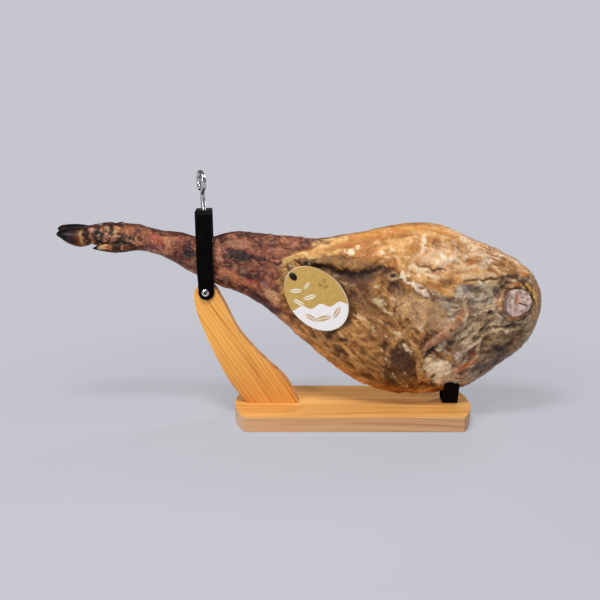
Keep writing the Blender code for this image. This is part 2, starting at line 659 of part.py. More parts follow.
# ---- assembly ------------------------------------------------------------------------------
def main():
    for obj in list(bpy.data.objects):
        bpy.data.objects.remove(obj, do_unlink=True)
    parts = make_collection("cured_ham_on_stand")
    cutters = make_collection("cutters")

    pine = make_material("pine", (0.80, 0.46, 0.17), 0.45)
    black_steel = make_material("black_steel", (0.012, 0.012, 0.013), 0.45, 0.2)
    zinc = make_material("zinc", (0.70, 0.72, 0.72), 0.25, 1.0)
    cured_meat = make_material("cured_meat", (0.36, 0.17, 0.07), 0.50)
    gold_card = make_material("gold_card", (0.55, 0.38, 0.11), 0.45)
    black_plastic = make_material("black_plastic", (0.02, 0.02, 0.02), 0.35)

    make_board(parts, cutters, pine)
    make_arm(parts, cutters, pine)

    frame = (
        Matrix.Translation(PIVOT)
        @ Matrix.Rotation(BRACKET_LEAN, 4, "Y")
        @ Matrix.Rotation(BRACKET_TWIST, 4, "Z")
    )
    make_bracket(frame, parts, cutters, black_steel)
    make_bolt(parts, zinc)
    make_nut(parts, cutters, zinc)
    make_eye_screw(frame, parts, zinc)
    make_cradle(parts, cutters, black_steel)
    make_cradle_screw(parts, zinc)
    make_ham(parts, cutters, cured_meat)
    make_tag(parts, cutters, gold_card)
    make_rivet(parts, cutters, black_plastic)
    bpy.context.view_layer.update()


main()
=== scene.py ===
# %% [markdown]
# # A cured ham in its pine stand
# A whole cured ham lies clamped in a small wooden stand: the hoof to the left, the cut meat face
# to the front.  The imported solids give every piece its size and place.  This lesson dresses them:
# it loads them as a fixed frame, and then gives each one a surface and a finish of its own.
# Everything is in metres, +Z is up, and -Y is the side that the meat face looks to.

# %% Load the frame
import math

import bmesh
import bpy
import numpy as np
from mathutils import Matrix, Vector


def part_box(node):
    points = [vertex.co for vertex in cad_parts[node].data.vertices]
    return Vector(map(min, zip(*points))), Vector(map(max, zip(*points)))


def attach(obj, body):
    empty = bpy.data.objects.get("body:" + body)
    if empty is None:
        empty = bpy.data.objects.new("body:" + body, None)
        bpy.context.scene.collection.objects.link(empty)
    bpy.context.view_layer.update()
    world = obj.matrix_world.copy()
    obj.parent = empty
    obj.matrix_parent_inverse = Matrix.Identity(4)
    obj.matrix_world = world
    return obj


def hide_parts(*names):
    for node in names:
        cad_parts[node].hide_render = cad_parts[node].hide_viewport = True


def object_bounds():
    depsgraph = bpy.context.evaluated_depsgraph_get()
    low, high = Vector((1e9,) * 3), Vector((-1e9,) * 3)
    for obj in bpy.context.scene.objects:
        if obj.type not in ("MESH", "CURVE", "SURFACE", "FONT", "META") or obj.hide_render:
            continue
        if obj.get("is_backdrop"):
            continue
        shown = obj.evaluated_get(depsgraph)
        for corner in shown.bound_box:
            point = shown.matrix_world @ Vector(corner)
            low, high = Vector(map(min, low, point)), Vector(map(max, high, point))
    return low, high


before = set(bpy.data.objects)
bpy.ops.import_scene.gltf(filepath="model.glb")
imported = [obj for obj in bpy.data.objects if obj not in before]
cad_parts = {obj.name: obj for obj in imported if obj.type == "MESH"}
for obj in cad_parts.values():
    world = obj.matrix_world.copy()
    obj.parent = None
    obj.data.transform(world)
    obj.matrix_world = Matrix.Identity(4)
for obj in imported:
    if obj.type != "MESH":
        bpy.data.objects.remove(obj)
cad_low, cad_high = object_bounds()
print("solids:", sorted(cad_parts))
print("box of the solids:", [round(v, 4) for v in cad_low], [round(v, 4) for v in cad_high])

# %% [markdown]
# ## Camera
# The object is seen from the front and a little from above, with a moderately long lens so that the
# board keeps nearly parallel sides.  The camera isn't turned sideways, so its rotation is one angle.

# %% Camera
CAMERA_PLACE = (-0.075, -1.376, 0.463)
CAMERA_DOWN = math.radians(11.18)
lens = bpy.data.cameras.new("camera")
lens.lens = 52.8
lens.sensor_width = 36.0
lens.shift_x = -0.01
camera = bpy.data.objects.new("camera", lens)
camera.location = CAMERA_PLACE
camera.rotation_euler = (math.pi / 2 - CAMERA_DOWN, 0.0, 0.0)
bpy.context.scene.collection.objects.link(camera)
bpy.context.scene.camera = camera
bpy.context.scene.view_settings.view_transform = "Standard"
print("camera at", CAMERA_PLACE)

# %% [markdown]
# ## Paint by the byte
# Colours are easiest to choose as bytes, the way a colour picker shows them, but shaders mix linear
# light.  One helper turns bytes into linear values, and every colour below goes through it.


# %% Colours
def paint(red, green, blue):
    """Bytes to linear light: below 0.04 divide by 12.92, above it ((c + 0.055) / 1.055) ^ 2.4."""
    c = np.array((red, green, blue)) / 255.0
    return np.where(c < 0.04045, c / 12.92, ((c + 0.055) / 1.055) ** 2.4)


STUDIO_GREY = paint(198, 198, 206)
print("studio grey in linear light:", STUDIO_GREY.round(3))

# %% [markdown]
# ## Light, floor and backdrop
# A food studio is a dim room with large soft lamps over a pale table.  The dim room keeps dark things
# dark; each lamp is seen again in every moist bump as a small white glint.  The backdrop is a wide
# dome that only the camera sees, so it adds no light of its own and looks the same from every side.


# %% Softboxes
def softbox(name, place, aim, size, power):
    """A square area lamp at place whose -Z axis looks at aim."""
    lamp = bpy.data.lights.new(name, "AREA")
    lamp.size = size
    lamp.energy = power
    holder = bpy.data.objects.new(name, lamp)
    holder.location = place
    holder.rotation_euler = (Vector(aim) - Vector(place)).to_track_quat("-Z", "Y").to_euler()
    bpy.context.scene.collection.objects.link(holder)
    return holder


middle = (cad_low + cad_high) / 2
softbox("overhead_softbox", (-0.35, -0.75, 1.65), middle, 0.45, 19.0)
softbox("front_softbox", (-1.20, -1.55, 0.85), middle, 0.45, 16.0)
softbox("rear_softbox", (1.10, 1.10, 1.20), middle, 0.60, 11.0)
ROOM_SHARE = 0.30
room = bpy.data.worlds.new("studio")
room.use_nodes = True
room.node_tree.nodes["Background"].inputs["Color"].default_value = (*(STUDIO_GREY * ROOM_SHARE), 1.0)
bpy.context.scene.world = room
print("three softboxes in a dim room")

# %% Floor and backdrop
FLOOR_REACH = 11.0
DOME_RADIUS = 10.0
SHADOW_REACH = (0.28, 0.85)    # the floor takes shadows near the object and only glows far from it
FLOOR_WHITE = 0.240
FLOOR_LIT = 0.440             # the share of the floor's brightness that the lamps give


def stage_piece(name, mesh):
    piece = bpy.data.objects.new(name, mesh)
    bpy.context.scene.collection.objects.link(piece)
    piece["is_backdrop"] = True
    return piece


floor_mesh = bpy.data.meshes.new("floor")
reach = FLOOR_REACH
floor_mesh.from_pydata(
    [(-reach, -reach, 0), (reach, -reach, 0), (reach, reach, 0), (-reach, reach, 0)], [], [(0, 1, 2, 3)]
)
stage_piece("floor", floor_mesh)
dome_shape = bmesh.new()
bmesh.ops.create_uvsphere(dome_shape, u_segments=48, v_segments=24, radius=DOME_RADIUS)
dome_mesh = bpy.data.meshes.new("backdrop")
dome_shape.to_mesh(dome_mesh)
dome_shape.free()
backdrop = stage_piece("backdrop", dome_mesh)
for rays in ("diffuse", "glossy", "transmission", "volume_scatter", "shadow"):
    setattr(backdrop, "visible_" + rays, False)
print("floor and backdrop ready")

# %% [markdown]
# ## Mixing a finish
# Each material is a small graph of nodes.  Written out socket by socket such a graph is hard to
# read, so a helper class adds one node per call and returns its output.  A value that is handed in
# may be a number, a colour or another node's output.


# %% The finish helper
class Finish:
    """A material that is being mixed; every method adds one node and returns its output socket."""

    def __init__(self, name, **settings):
        self.material = bpy.data.materials.new(name)
        self.material.use_nodes = True
        self.tree = self.material.node_tree
        self.shader = self.tree.nodes["Principled BSDF"]
        self.place = self.tree.nodes.new("ShaderNodeTexCoord").outputs["Object"]
        for socket, value in settings.items():
            self.shader.inputs[socket.replace("_", " ")].default_value = value

    def feed(self, socket, value):
        if isinstance(value, bpy.types.NodeSocket):
            self.tree.links.new(value, socket)
        elif socket.type == "RGBA":
            socket.default_value = (*value, 1.0) if np.ndim(value) else (value, value, value, 1.0)
        else:
            socket.default_value = value

    def add(self, kind, output, values, **settings):
        node = self.tree.nodes.new("ShaderNode" + kind)
        for name, value in settings.items():
            setattr(node, name, value)
        for socket, value in values.items():
            self.feed(node.inputs[socket], value)
        return node.outputs[output]

    def calc(self, operation, first, second=0.0, third=0.0):
        return self.add("Math", 0, {0: first, 1: second, 2: third}, operation=operation)

    def laid(self, vector, at=(0, 0, 0), turn=0.0, size=(1, 1, 1), flat_turn=0.0):
        """The place measured from a point at, along axes turned about Y (or, on a card, about Z),
        in units of size metres."""
        values = {"Vector": vector, "Location": at, "Rotation": (0.0, turn, flat_turn), "Scale": size}
        return self.add("Mapping", 0, values, vector_type="TEXTURE")

    def noise(self, vector, scale, detail=4.0, rough=0.55, warp=0.0):
        values = {"Vector": vector, "Scale": scale, "Detail": detail, "Roughness": rough, "Distortion": warp}
        return self.add("TexNoise", "Fac", values)

    def cells(self, vector, scale, output="Distance", feature="F1"):
        return self.add("TexVoronoi", output, {"Vector": vector, "Scale": scale}, feature=feature)

    def step(self, value, low, high, start=0.0, end=1.0):
        """A soft step: start below low, end above high, and an S-curve between them."""
        values = {"Value": value, "From Min": low, "From Max": high, "To Min": start, "To Max": end}
        return self.add("MapRange", 0, values, interpolation_type="SMOOTHSTEP")

    def mix(self, share, first, second, mode="MIX"):
        values = {0: share, 6: first, 7: second}
        return self.add("Mix", 2, values, data_type="RGBA", blend_type=mode)

    def between(self, share, first, second):
        return self.add("Mix", 0, {0: share, 2: first, 3: second}, data_type="FLOAT")

    def read(self, name, output="Fac"):
        return self.add("Attribute", output, {}, attribute_name=name)

    def surface(self, colour=None, roughness=None, height=None, depth=0.001, strength=1.0):
        """Feeds the shader: colour, roughness, and a height in units of depth metres."""
        if colour is not None:
            self.feed(self.shader.inputs["Base Color"], colour)
        if roughness is not None:
            self.feed(self.shader.inputs["Roughness"], roughness)
        if height is not None:
            values = {"Height": height, "Distance": depth, "Strength": strength}
            self.feed(self.shader.inputs["Normal"], self.add("Bump", 0, values))
        return self.material


print("finish helper ready")

# %% [markdown]
# ## The pale table
# A floor that is only lit would fade away from the lamps and show a horizon.  Here its own faint glow
# makes up for that: near the object it is a little weaker and the lamps add the rest, so shadows
# show there, and far away the glow alone matches the backdrop.

# %% Table finish
table = Finish("pale_table", Roughness=1.0, Specular_IOR_Level=0.0, Emission_Strength=1.0)
distance = table.add("VectorMath", "Value", {0: table.place}, operation="LENGTH")
nearness = table.step(distance, *SHADOW_REACH, 1.0, 0.0)
glow = table.calc("SUBTRACT", 1.0, table.calc("MULTIPLY", nearness, FLOOR_LIT))
glow_colour = table.add("VectorMath", 0, {0: tuple(STUDIO_GREY), 3: glow}, operation="SCALE")
table.feed(table.shader.inputs["Emission Color"], glow_colour)
white = table.mix(nearness, (0.0, 0.0, 0.0), tuple(STUDIO_GREY / STUDIO_GREY[0] * FLOOR_WHITE))
floor_mesh.materials.append(table.surface(white))
paper = Finish("backdrop_paper", Roughness=1.0, Specular_IOR_Level=0.0, Base_Color=(0, 0, 0, 1),
               Emission_Color=(*STUDIO_GREY, 1.0), Emission_Strength=1.0)
dome_mesh.materials.append(paper.material)
print("table and backdrop finished")

# %% [markdown]
# ## Pine
# Softwood shows growth rings: each year leaves a broad pale band and a thin darker one.  In a sawn
# plank these are long lines on the faces and arcs on the ends, because the rings are tubes round the
# tree's heart.  So the pattern is measured as the distance from a heart line that runs along the
# plank, bent a little by noise, and it is right on every face without any unwrapping.


# %% Pine finish
def pine_finish(name, heart, turn, ring_width, late, early, painted_top_light, end_grain_and_light, contrast, amber=0.0):
    """Rings by distance from the heart line, which runs along local X from the point heart.
    painted_top_light multiplies the faces that look up, as painted light on the top; end_grain_and_light tints the end
    faces, partly end grain and partly painted light on the ends; contrast is how dark late wood gets, and amber how
    much the plank reddens towards its foot."""
    pine = Finish(name, Specular_IOR_Level=0.35)
    grain = pine.laid(pine.place, at=heart, turn=turn)
    slow = pine.laid(grain, size=(0.8, 0.11, 0.11))
    bend = pine.add("TexNoise", "Color", {"Vector": slow, "Scale": 1.0, "Detail": 3.0})
    offset = pine.add("VectorMath", 0, {0: bend, 1: (0.5, 0.5, 0.5)}, operation="SUBTRACT")
    bent = pine.add("VectorMath", 0, {0: offset, 1: (0, 0.05, 0.05), 2: grain}, operation="MULTIPLY_ADD")
    across = pine.add("VectorMath", 0, {0: bent, 1: (0, 1, 1)}, operation="MULTIPLY")
    radius = pine.add("VectorMath", "Value", {0: across}, operation="LENGTH")
    year = pine.calc("FRACT", pine.calc("DIVIDE", radius, ring_width))
    late_part = pine.calc("MULTIPLY", pine.step(year, 0.35, 0.93), pine.step(year, 0.93, 1.0, 1.0, 0.0))
    fibres = pine.noise(pine.laid(grain, size=(0.080, 0.0014, 0.0014)), 1.0, 3.0, 0.6)
    streaks = pine.noise(pine.laid(grain, size=(0.30, 0.016, 0.016)), 1.0, 4.0, 0.6)
    shade = pine.calc("MULTIPLY", late_part, pine.step(streaks, 0.35, 0.65, 0.25 * contrast, contrast))
    colour = pine.mix(shade, early, late)
    colour = pine.mix(pine.step(streaks, 0.42, 0.66, 0.0, 0.40), colour, late)
    colour = pine.mix(pine.step(fibres, 0.45, 0.70, 0.0, 0.30), colour, late)
    spot = pine.tree.nodes.new("ShaderNodeSeparateXYZ")
    pine.feed(spot.inputs[0], pine.place)
    colour = pine.mix(pine.step(spot.outputs[2], 0.13, 0.03, 0.0, amber), colour, late)
    facing = pine.add("NewGeometry", "Normal", {})
    parts = pine.tree.nodes.new("ShaderNodeSeparateXYZ")
    pine.feed(parts.inputs[0], facing)
    upward = pine.step(parts.outputs[2], 0.6, 0.9)
    endwise = pine.step(pine.calc("ABSOLUTE", parts.outputs[0]), 0.8, 0.98)
    # Painted light: the faces that look up are multiplied by the top tint, which makes the board's top brighter.
    colour = pine.mix(upward, colour, painted_top_light, "MULTIPLY")
    # The end faces are tinted paler: end grain, and painted light on the ends.
    colour = pine.mix(pine.calc("MULTIPLY", endwise, 0.55), colour, end_grain_and_light)
    rough = pine.step(fibres, 0.3, 0.7, 0.44, 0.60)
    height = pine.calc("ADD", pine.calc("MULTIPLY", shade, 0.5), fibres)
    return pine.surface(colour, rough, height, depth=0.0002, strength=0.5)


def finish_node(name, material):
    """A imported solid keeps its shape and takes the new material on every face."""
    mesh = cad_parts[name].data
    mesh.materials.clear()
    mesh.materials.append(material)


board_pine = pine_finish(
    "board_pine", (0.0, -0.045, -0.034), 0.0, 0.0070,
    paint(184, 126, 80), paint(220, 170, 122), (1.40, 1.30, 0.74), paint(226, 192, 154), 0.75,
)
ARM_LEAN = math.radians(58.0)
arm_pine = pine_finish(
    "arm_pine", (-0.330, 0.060, 0.100), ARM_LEAN, 0.0056,
    paint(178, 92, 36), paint(243, 178, 84), (1.0, 0.92, 0.80), paint(238, 184, 128), 0.80, 0.28,
)
finish_node("board", board_pine)
finish_node("arm", arm_pine)
print("pine on board and arm")

# %% [markdown]
# ## Dressing a sawn or bent piece
# Steel strip comes with slightly broken edges, and that thin bright line is what tells the eye that
# it is metal.  The solids have knife-sharp edges.  Their meshes are loose triangles, so a copy is
# welded, its flat faces are joined back together, and a narrow bevel rounds the edges.


# %% Eased copies of solids
def eased_copy(node, width, segments=2):
    """A welded copy of a solid with its edges rounded by a bevel; it stands for the solid."""
    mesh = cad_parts[node].data.copy()
    shape = bmesh.new()
    shape.from_mesh(mesh)
    bmesh.ops.remove_doubles(shape, verts=shape.verts, dist=0.00001)
    bmesh.ops.dissolve_limit(
        shape, angle_limit=math.radians(1.0), verts=shape.verts, edges=shape.edges
    )
    shape.to_mesh(mesh)
    shape.free()
    mesh.materials.clear()
    copy = bpy.data.objects.new(node + "_dressed", mesh)
    bpy.context.scene.collection.objects.link(copy)
    bevel = copy.modifiers.new("Broken edges", "BEVEL")
    bevel.width = width
    bevel.segments = segments
    bevel.limit_method = "ANGLE"
    bevel.angle_limit = math.radians(40.0)
    bevel.harden_normals = False
    mesh.shade_smooth()
    mesh.set_sharp_from_angle(angle=math.radians(30.0))
    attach(copy, "root")
    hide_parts(node)
    return copy


# %% [markdown]
# ## Black powder coat
# The bracket and the cradle are steel strip with a baked black paint.  It has a fine orange-peel skin, so its gloss is
# broken, and its black is a little paler and rougher in soft random patches.

# %% Black steel
powder = Finish("black_powder_coat", Specular_IOR_Level=0.04)
peel = powder.noise(powder.place, 900.0, 2.0)
dust = powder.noise(powder.place, 60.0, 5.0)
blacks = powder.mix(powder.step(dust, 0.50, 0.80), paint(5, 3, 4), paint(18, 13, 11))
black_steel = powder.surface(blacks, powder.step(dust, 0.3, 0.7, 0.34, 0.52), peel, 0.00012, 0.6)
for node in ("bracket", "cradle"):
    strip = eased_copy(node, 0.0005)
    strip.data.materials.append(black_steel)
    print(node, "dressed:", len(strip.data.polygons), "faces before the bevel")

# %% [markdown]
# ## Surfaces from rings
# Most new pieces here are rings of points stacked along a path, like the hoops of a barrel.  With
# all rings in one array, the faces follow from the array's own numbering: each quad joins a point,
# its neighbour in the ring, and the same two points in the next ring.  Both ends close in a pole.


# %% Rings to mesh
def ring_mesh(name, rings, start, end):
    """rings is rows x columns x 3; start and end are the poles.
    The signed volume, the sum of the corner triple products over 6, tells whether to turn faces."""
    rows, columns = rings.shape[:2]
    index = np.arange(rows * columns).reshape(rows, columns)
    beside = np.roll(index, -1, axis=1)
    quads = np.stack([index[:-1], beside[:-1], beside[1:], index[1:]], axis=-1).reshape(-1, 4)
    first = np.stack([beside[0], index[0], np.full(columns, rows * columns)], axis=-1)
    last = np.stack([index[-1], beside[-1], np.full(columns, rows * columns + 1)], axis=-1)
    points = np.concatenate([rings.reshape(-1, 3), [start, end]])
    a, b, c, d = (points[quads[:, i]] for i in range(4))
    volume = np.einsum("ij,ij->i", a, np.cross(b, c)).sum() + np.einsum("ij,ij->i", a, np.cross(c, d)).sum()
    faces = quads.tolist() + first.tolist() + last.tolist()
    if volume < 0:
        faces = [face[::-1] for face in faces]
    mesh = bpy.data.meshes.new(name)
    mesh.from_pydata(points.tolist(), [], faces)
    mesh.shade_smooth()
    obj = bpy.data.objects.new(name, mesh)
    bpy.context.scene.collection.objects.link(obj)
    print(name, len(points), "points,", 2 * len(quads) + 2 * columns, "triangles")
    return obj


def hold_values(obj, name, values):
    """Keeps one number for each point, for the shader to read by name."""
    obj.data.attributes.new(name, "FLOAT", "POINT").data.foreach_set("value", values.astype(np.float32))


def hold_colours(obj, name, colours):
    """Keeps one linear colour for each point."""
    rgba = np.concatenate([colours, np.ones((len(colours), 1))], axis=1).astype(np.float32)
    obj.data.color_attributes.new(name, "FLOAT_COLOR", "POINT").data.foreach_set("color", rgba.ravel())


def settle(obj, body, material):
    """The piece moves with a body and wears its finish."""
    obj.data.materials.append(material)
    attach(obj, body)
    return obj


def smooth_through(knots, values, t):
    """A cubic through the values at the knots, with slopes taken from the neighbouring knots."""
    knots, values, t = np.asarray(knots, float), np.asarray(values, float), np.asarray(t, float)
    slopes = np.gradient(values, knots, axis=0)
    i = np.clip(np.searchsorted(knots, t) - 1, 0, len(knots) - 2)
    span = (knots[i + 1] - knots[i])[:, None]
    s = (t - knots[i])[:, None] / span
    near = values[i] * (1 + 2 * s) * (1 - s) ** 2 + slopes[i] * span * s * (1 - s) ** 2
    return near + values[i + 1] * s**2 * (3 - 2 * s) + slopes[i + 1] * span * s**2 * (s - 1)


def soft_step(value, low, high):
    """0 below low, 1 above high, and the S-curve 3s^2 - 2s^3 between them."""
    s = np.clip((value - low) / (high - low), 0.0, 1.0)
    return s * s * (3 - 2 * s)


print("ring helpers ready")

# %% [markdown]
# ## Zinc
# The eye screw, the bolt and its nut are bright zinc plate: a smooth, slightly milky metal with faint
# drawing marks.  A metal has no colour of its own besides its reflections, so roughness does the work.
# Where a value called sunk is 1, in a socket for a key, the zinc is painted nearly black: painted shade in the socket.

# %% Zinc finish
plate = Finish("bright_zinc", Metallic=1.0)
cloud = plate.noise(plate.place, 90.0, 4.0)
marks = plate.noise(plate.laid(plate.place, size=(0.0007, 0.0007, 0.0046)), 1.0, 2.0)
greys = plate.mix(cloud, paint(226, 228, 228), paint(186, 188, 188))
# Painted shade: the sunk socket is painted nearly black.
greys = plate.mix(plate.calc("MULTIPLY", plate.read("sunk"), 0.92), greys, paint(40, 38, 38))
bright_zinc = plate.surface(greys, plate.step(cloud, 0.3, 0.7, 0.10, 0.24), marks, 0.0001, 0.3)
print("zinc ready")

# %% [markdown]
# ## The eye screw
# It is one steel rod: a threaded shank that presses the ham down, a slanting neck, and the end bent
# round into an eye for two fingers.  A circle is carried along that path.  At each point the path's
# tangent and the flat plane of the bend give two directions to lay the circle in, so it never twists.
# The thread is the rod's radius itself, falling and rising once a turn.

# %% The bracket's own frame
PIVOT = Vector((-0.2330, 0.0, 0.2060))
BRACKET_LEAN = math.radians(-0.8)
BRACKET_TWIST = math.radians(4.0)
BRACKET_HEIGHT = 0.1290
STRIP_THICK = 0.0030
SCREW_LEAN = math.radians(-3.0)
bracket_frame = (
    Matrix.Translation(PIVOT)
    @ Matrix.Rotation(BRACKET_LEAN, 4, "Y")
    @ Matrix.Rotation(BRACKET_TWIST, 4, "Z")
)
bracket_top = Matrix.Translation((0, 0, BRACKET_HEIGHT))
screw_frame = bracket_frame @ bracket_top @ Matrix.Rotation(SCREW_LEAN, 4, "Y") @ bracket_top.inverted()
print("bracket frame at", tuple(round(v, 4) for v in bracket_frame.translation))


# %% Eye screw
def moved(points, matrix):
    """Points of any array shape, carried by a 4 x 4 matrix."""
    m = np.array(matrix)
    return points @ m[:3, :3].T + m[:3, 3]


def evenly(path, spacing):
    """The path walked again in equal steps."""
    far = np.concatenate([[0.0], np.cumsum(np.linalg.norm(np.diff(path, axis=0), axis=1))])
    steps = np.linspace(0.0, far[-1], int(far[-1] / spacing) + 1)
    return np.stack([np.interp(steps, far, path[:, i]) for i in range(path.shape[1])], axis=1)


SCREW_RADIUS = 0.0040
SCREW_TIP = 0.0868
SCREW_NECK = 0.1495
EYE_RADIUS = 0.0140
EYE_CENTRE = 0.1725
EYE_TURN = math.radians(-72.0)
THREAD_PITCH = 0.00125
THREAD_DEPTH = 0.00055
THREAD_TOP = 0.1440
ring_angles = np.radians(np.linspace(-52.0, 236.0, 60))
eye = np.stack([EYE_RADIUS * np.cos(ring_angles), EYE_CENTRE + EYE_RADIUS * np.sin(ring_angles)], axis=1)
bend = smooth_through(
    [0.0, 1.0, 2.0, 3.0, 4.0],
    [(0.0, SCREW_NECK - 0.006), (0.0, SCREW_NECK), (0.0012, SCREW_NECK + 0.005),
     (0.0045, SCREW_NECK + 0.009), tuple(eye[0])],
    np.linspace(0.0, 4.0, 25),
)
path = evenly(np.concatenate([[(0.0, SCREW_TIP)], bend, eye[1:]]), 0.00030)
tangent = np.gradient(path, axis=0)
tangent = tangent / np.linalg.norm(tangent, axis=1)[:, None]
sideways = np.stack([-tangent[:, 1], tangent[:, 0]], axis=1)
around = np.linspace(0.0, 2 * math.pi, 24, endpoint=False)
height = path[:, 1][:, None]
on_shank = soft_step(height, SCREW_TIP + 0.002, SCREW_TIP + 0.004) * (1 - soft_step(height, THREAD_TOP - 0.002, THREAD_TOP))
flank = np.abs(((height / THREAD_PITCH + around / (2 * math.pi)) % 1.0) * 2 - 1)
radius = SCREW_RADIUS * np.ones_like(flank) - THREAD_DEPTH * flank * on_shank
end_round = np.clip(np.minimum(np.arange(len(path)), np.arange(len(path))[::-1]) * 0.0003 / 0.0010, 0, 1)
radius = radius * (0.72 + 0.28 * np.sqrt(end_round))[:, None]
u = path[:, 0][:, None] + sideways[:, 0][:, None] * radius * np.cos(around)
z = path[:, 1][:, None] + sideways[:, 1][:, None] * radius * np.cos(around)
v = radius * np.sin(around)
c, s = math.cos(EYE_TURN), math.sin(EYE_TURN)
tube = moved(np.stack([u * c - v * s, u * s + v * c, z], axis=-1), screw_frame)
eye_screw = ring_mesh("eye_screw_rod", tube, tube[0].mean(axis=0), tube[-1].mean(axis=0))
settle(eye_screw, "screw", bright_zinc)
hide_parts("eye_screw")

# %% [markdown]
# ## Bolt, nut and cradle screw
# A round-headed bolt with a hexagonal socket joins the bracket to the arm.  Its head is a dome with a well sunk into
# it: seen from the front the head is a disc, and its height is a function of the radius and the angle.  The same
# function makes the small screw under the ham; the nut is an eased copy of its solid.


# %% Small fasteners
def hex_reach(angle, flat):
    """Distance from the middle to a hexagon's edge: flat / cos(angle to the nearest flat's middle)."""
    return flat / np.cos((angle + math.pi / 6) % (math.pi / 3) - math.pi / 6)


def head_rings(profile, well_flat, well_depth, sides=72):
    """Rings (r, height) from the middle outwards; inside the hexagonal well the height drops."""
    angle = np.linspace(0.0, 2 * math.pi, sides, endpoint=False)
    r, h = (np.array(profile)[:, i][:, None] for i in range(2))
    inside = 1 - soft_step(r, hex_reach(angle, well_flat) * 0.93, hex_reach(angle, well_flat) * 1.04)
    inside = np.where(np.arange(len(profile))[:, None] < len(profile) * 0.6, inside, 0.0)
    return np.stack([r * np.cos(angle), r * np.sin(angle), h - well_depth * inside], axis=-1), inside


def mark_sunk(obj, inside):
    """Tells the zinc where the socket is; the pole in the middle is sunk and the last one isn't."""
    hold_values(obj, "sunk", np.concatenate([inside.ravel(), [1.0, 0.0]]))


BOLT_HEAD = 0.0060
BOLT_HEIGHT = 0.0034
BOLT_RADIUS = 0.0030
LOW_INNER = 0.0132
seat = LOW_INNER + STRIP_THICK + 0.0009
dome_angle = np.linspace(0.05, math.pi / 2, 46)
dome = [(BOLT_HEAD * math.sin(a), seat + BOLT_HEIGHT * (0.35 + 0.65 * math.cos(a))) for a in dome_angle]
under = [(BOLT_HEAD * 0.97, seat), (BOLT_RADIUS, seat), (BOLT_RADIUS, -seat - 0.0062), (BOLT_RADIUS * 0.8, -seat - 0.0070)]
face_front = Matrix.Translation(PIVOT) @ Matrix.Rotation(math.pi / 2, 4, "X")
head, sunk = head_rings(dome + under, 0.0024, 0.0022)
rings = moved(head, face_front)
bolt = ring_mesh("socket_bolt", rings, rings[0].mean(axis=0), rings[-1].mean(axis=0))
settle(bolt, "root", bright_zinc)
mark_sunk(bolt, sunk)
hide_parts("pivot_bolt")

nut = eased_copy("pivot_nut", 0.0004)
nut.data.materials.append(bright_zinc)

low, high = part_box("cradle_screw")
screw_r = (high.x - low.x) / 2
top = high.z
cap_profile = [(screw_r * s, top - 0.0016 * s**2) for s in np.linspace(0.04, 1.0, 30)]
cap_profile += [(screw_r, top - 0.0022), (screw_r * 0.5, top - 0.0022), (screw_r * 0.5, low.z + 0.003)]
middle_of_screw = Matrix.Translation(((low.x + high.x) / 2, (low.y + high.y) / 2, 0.0))
head, sunk = head_rings(cap_profile, 0.0014, 0.0010, 48)
rings = moved(head, middle_of_screw)
tip = Vector(((low.x + high.x) / 2, (low.y + high.y) / 2, low.z))
cradle_screw = ring_mesh("cradle_screw_dressed", rings, rings[0].mean(axis=0), tip)
settle(cradle_screw, "root", bright_zinc)
mark_sunk(cradle_screw, sunk)
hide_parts("cradle_screw")

# %% [markdown]
# ## Natural randomness
# Cured meat is uneven at every size, from the bulge of a muscle to the dust of salt.  Noise stands in
# for that.  Each corner of a grid of cubes gets a fixed random height, mixed from its whole-numbered
# place, and inside a cube the eight heights are blended.  Adding the same noise at half the size and
# half the height, again and again, gives something that looks grown.


# %% Noise
def corner_height(i, j, k, seed):
    """A repeatable number from -1 to 1 for a grid corner: its indices multiplied, mixed and cut."""
    mixed = (i * 374761393 + j * 668265263 + k * 1103515245 + seed * 144269501) & 0xFFFFFFFF
    mixed = ((mixed ^ (mixed >> 13)) * 1274126177) & 0xFFFFFFFF
    return ((mixed ^ (mixed >> 16)) & 0xFFFF) / 32767.5 - 1.0


def lumps(points, size, seed):
    """Value noise: corner heights blended with the weights 6f^5 - 15f^4 + 10f^3 along each axis."""
    place = points / size
    cell = np.floor(place).astype(np.int64)
    f = place - cell
    f = f * f * f * (f * (f * 6 - 15) + 10)
    total = np.zeros(points.shape[:-1])
    for corner in range(8):
        step = np.array((corner & 1, corner >> 1 & 1, corner >> 2))
        weight = np.prod(np.where(step, f, 1 - f), axis=-1)
        i, j, k = np.moveaxis(cell + step, -1, 0)
        total += weight * corner_height(i, j, k, seed)
    return total


def grown(points, size, seed, layers=4, fade=0.55):
    """Layers of lumps, each half the size of the last and fade times its height."""
    total, weight = 0.0, 1.0
    for layer in range(layers):
        total = total + weight * lumps(points, size / 2**layer, seed + 17 * layer)
        weight *= fade
    return total


def drawn_out(points, tilt, stretch):
    """The points squeezed along one direction in the X-Z plane, so noise read there is streaky."""
    c, s = math.cos(math.radians(tilt)), math.sin(math.radians(tilt))
    along = (points[..., 0] * c + points[..., 2] * s) / stretch
    across = points[..., 2] * c - points[..., 0] * s
    return np.stack([along, points[..., 1], across], axis=-1)


def grain_specks(points, size, seed):
    """Distance to the nearest of one random point per cube, in cube sizes: small at each speck."""
    place = points / size
    cell = np.floor(place).astype(np.int64)
    nearest = np.full(points.shape[:-1], 9.0)
    for step in np.ndindex(3, 3, 3):
        i, j, k = np.moveaxis(cell + np.array(step) - 1, -1, 0)
        spot = np.stack([corner_height(i, j, k, seed + n) for n in range(3)], axis=-1) * 0.5 + 0.5
        gap = np.linalg.norm(place - (np.stack([i, j, k], axis=-1) + spot), axis=-1)
        nearest = np.minimum(nearest, gap)
    return nearest


print("noise ready")

# %% [markdown]
# ## The ham's form
# A ham is built from ribs: each runs from a point on the upper edge to one on the lower edge, and
# bulges to the front and to the back.  Between ribs everything follows a smooth curve.  The numbers
# are those of the solid, so this surface lies in its place, but it has ten times as many rings and the
# points round a ring crowd together on the meat face, where the detail is.

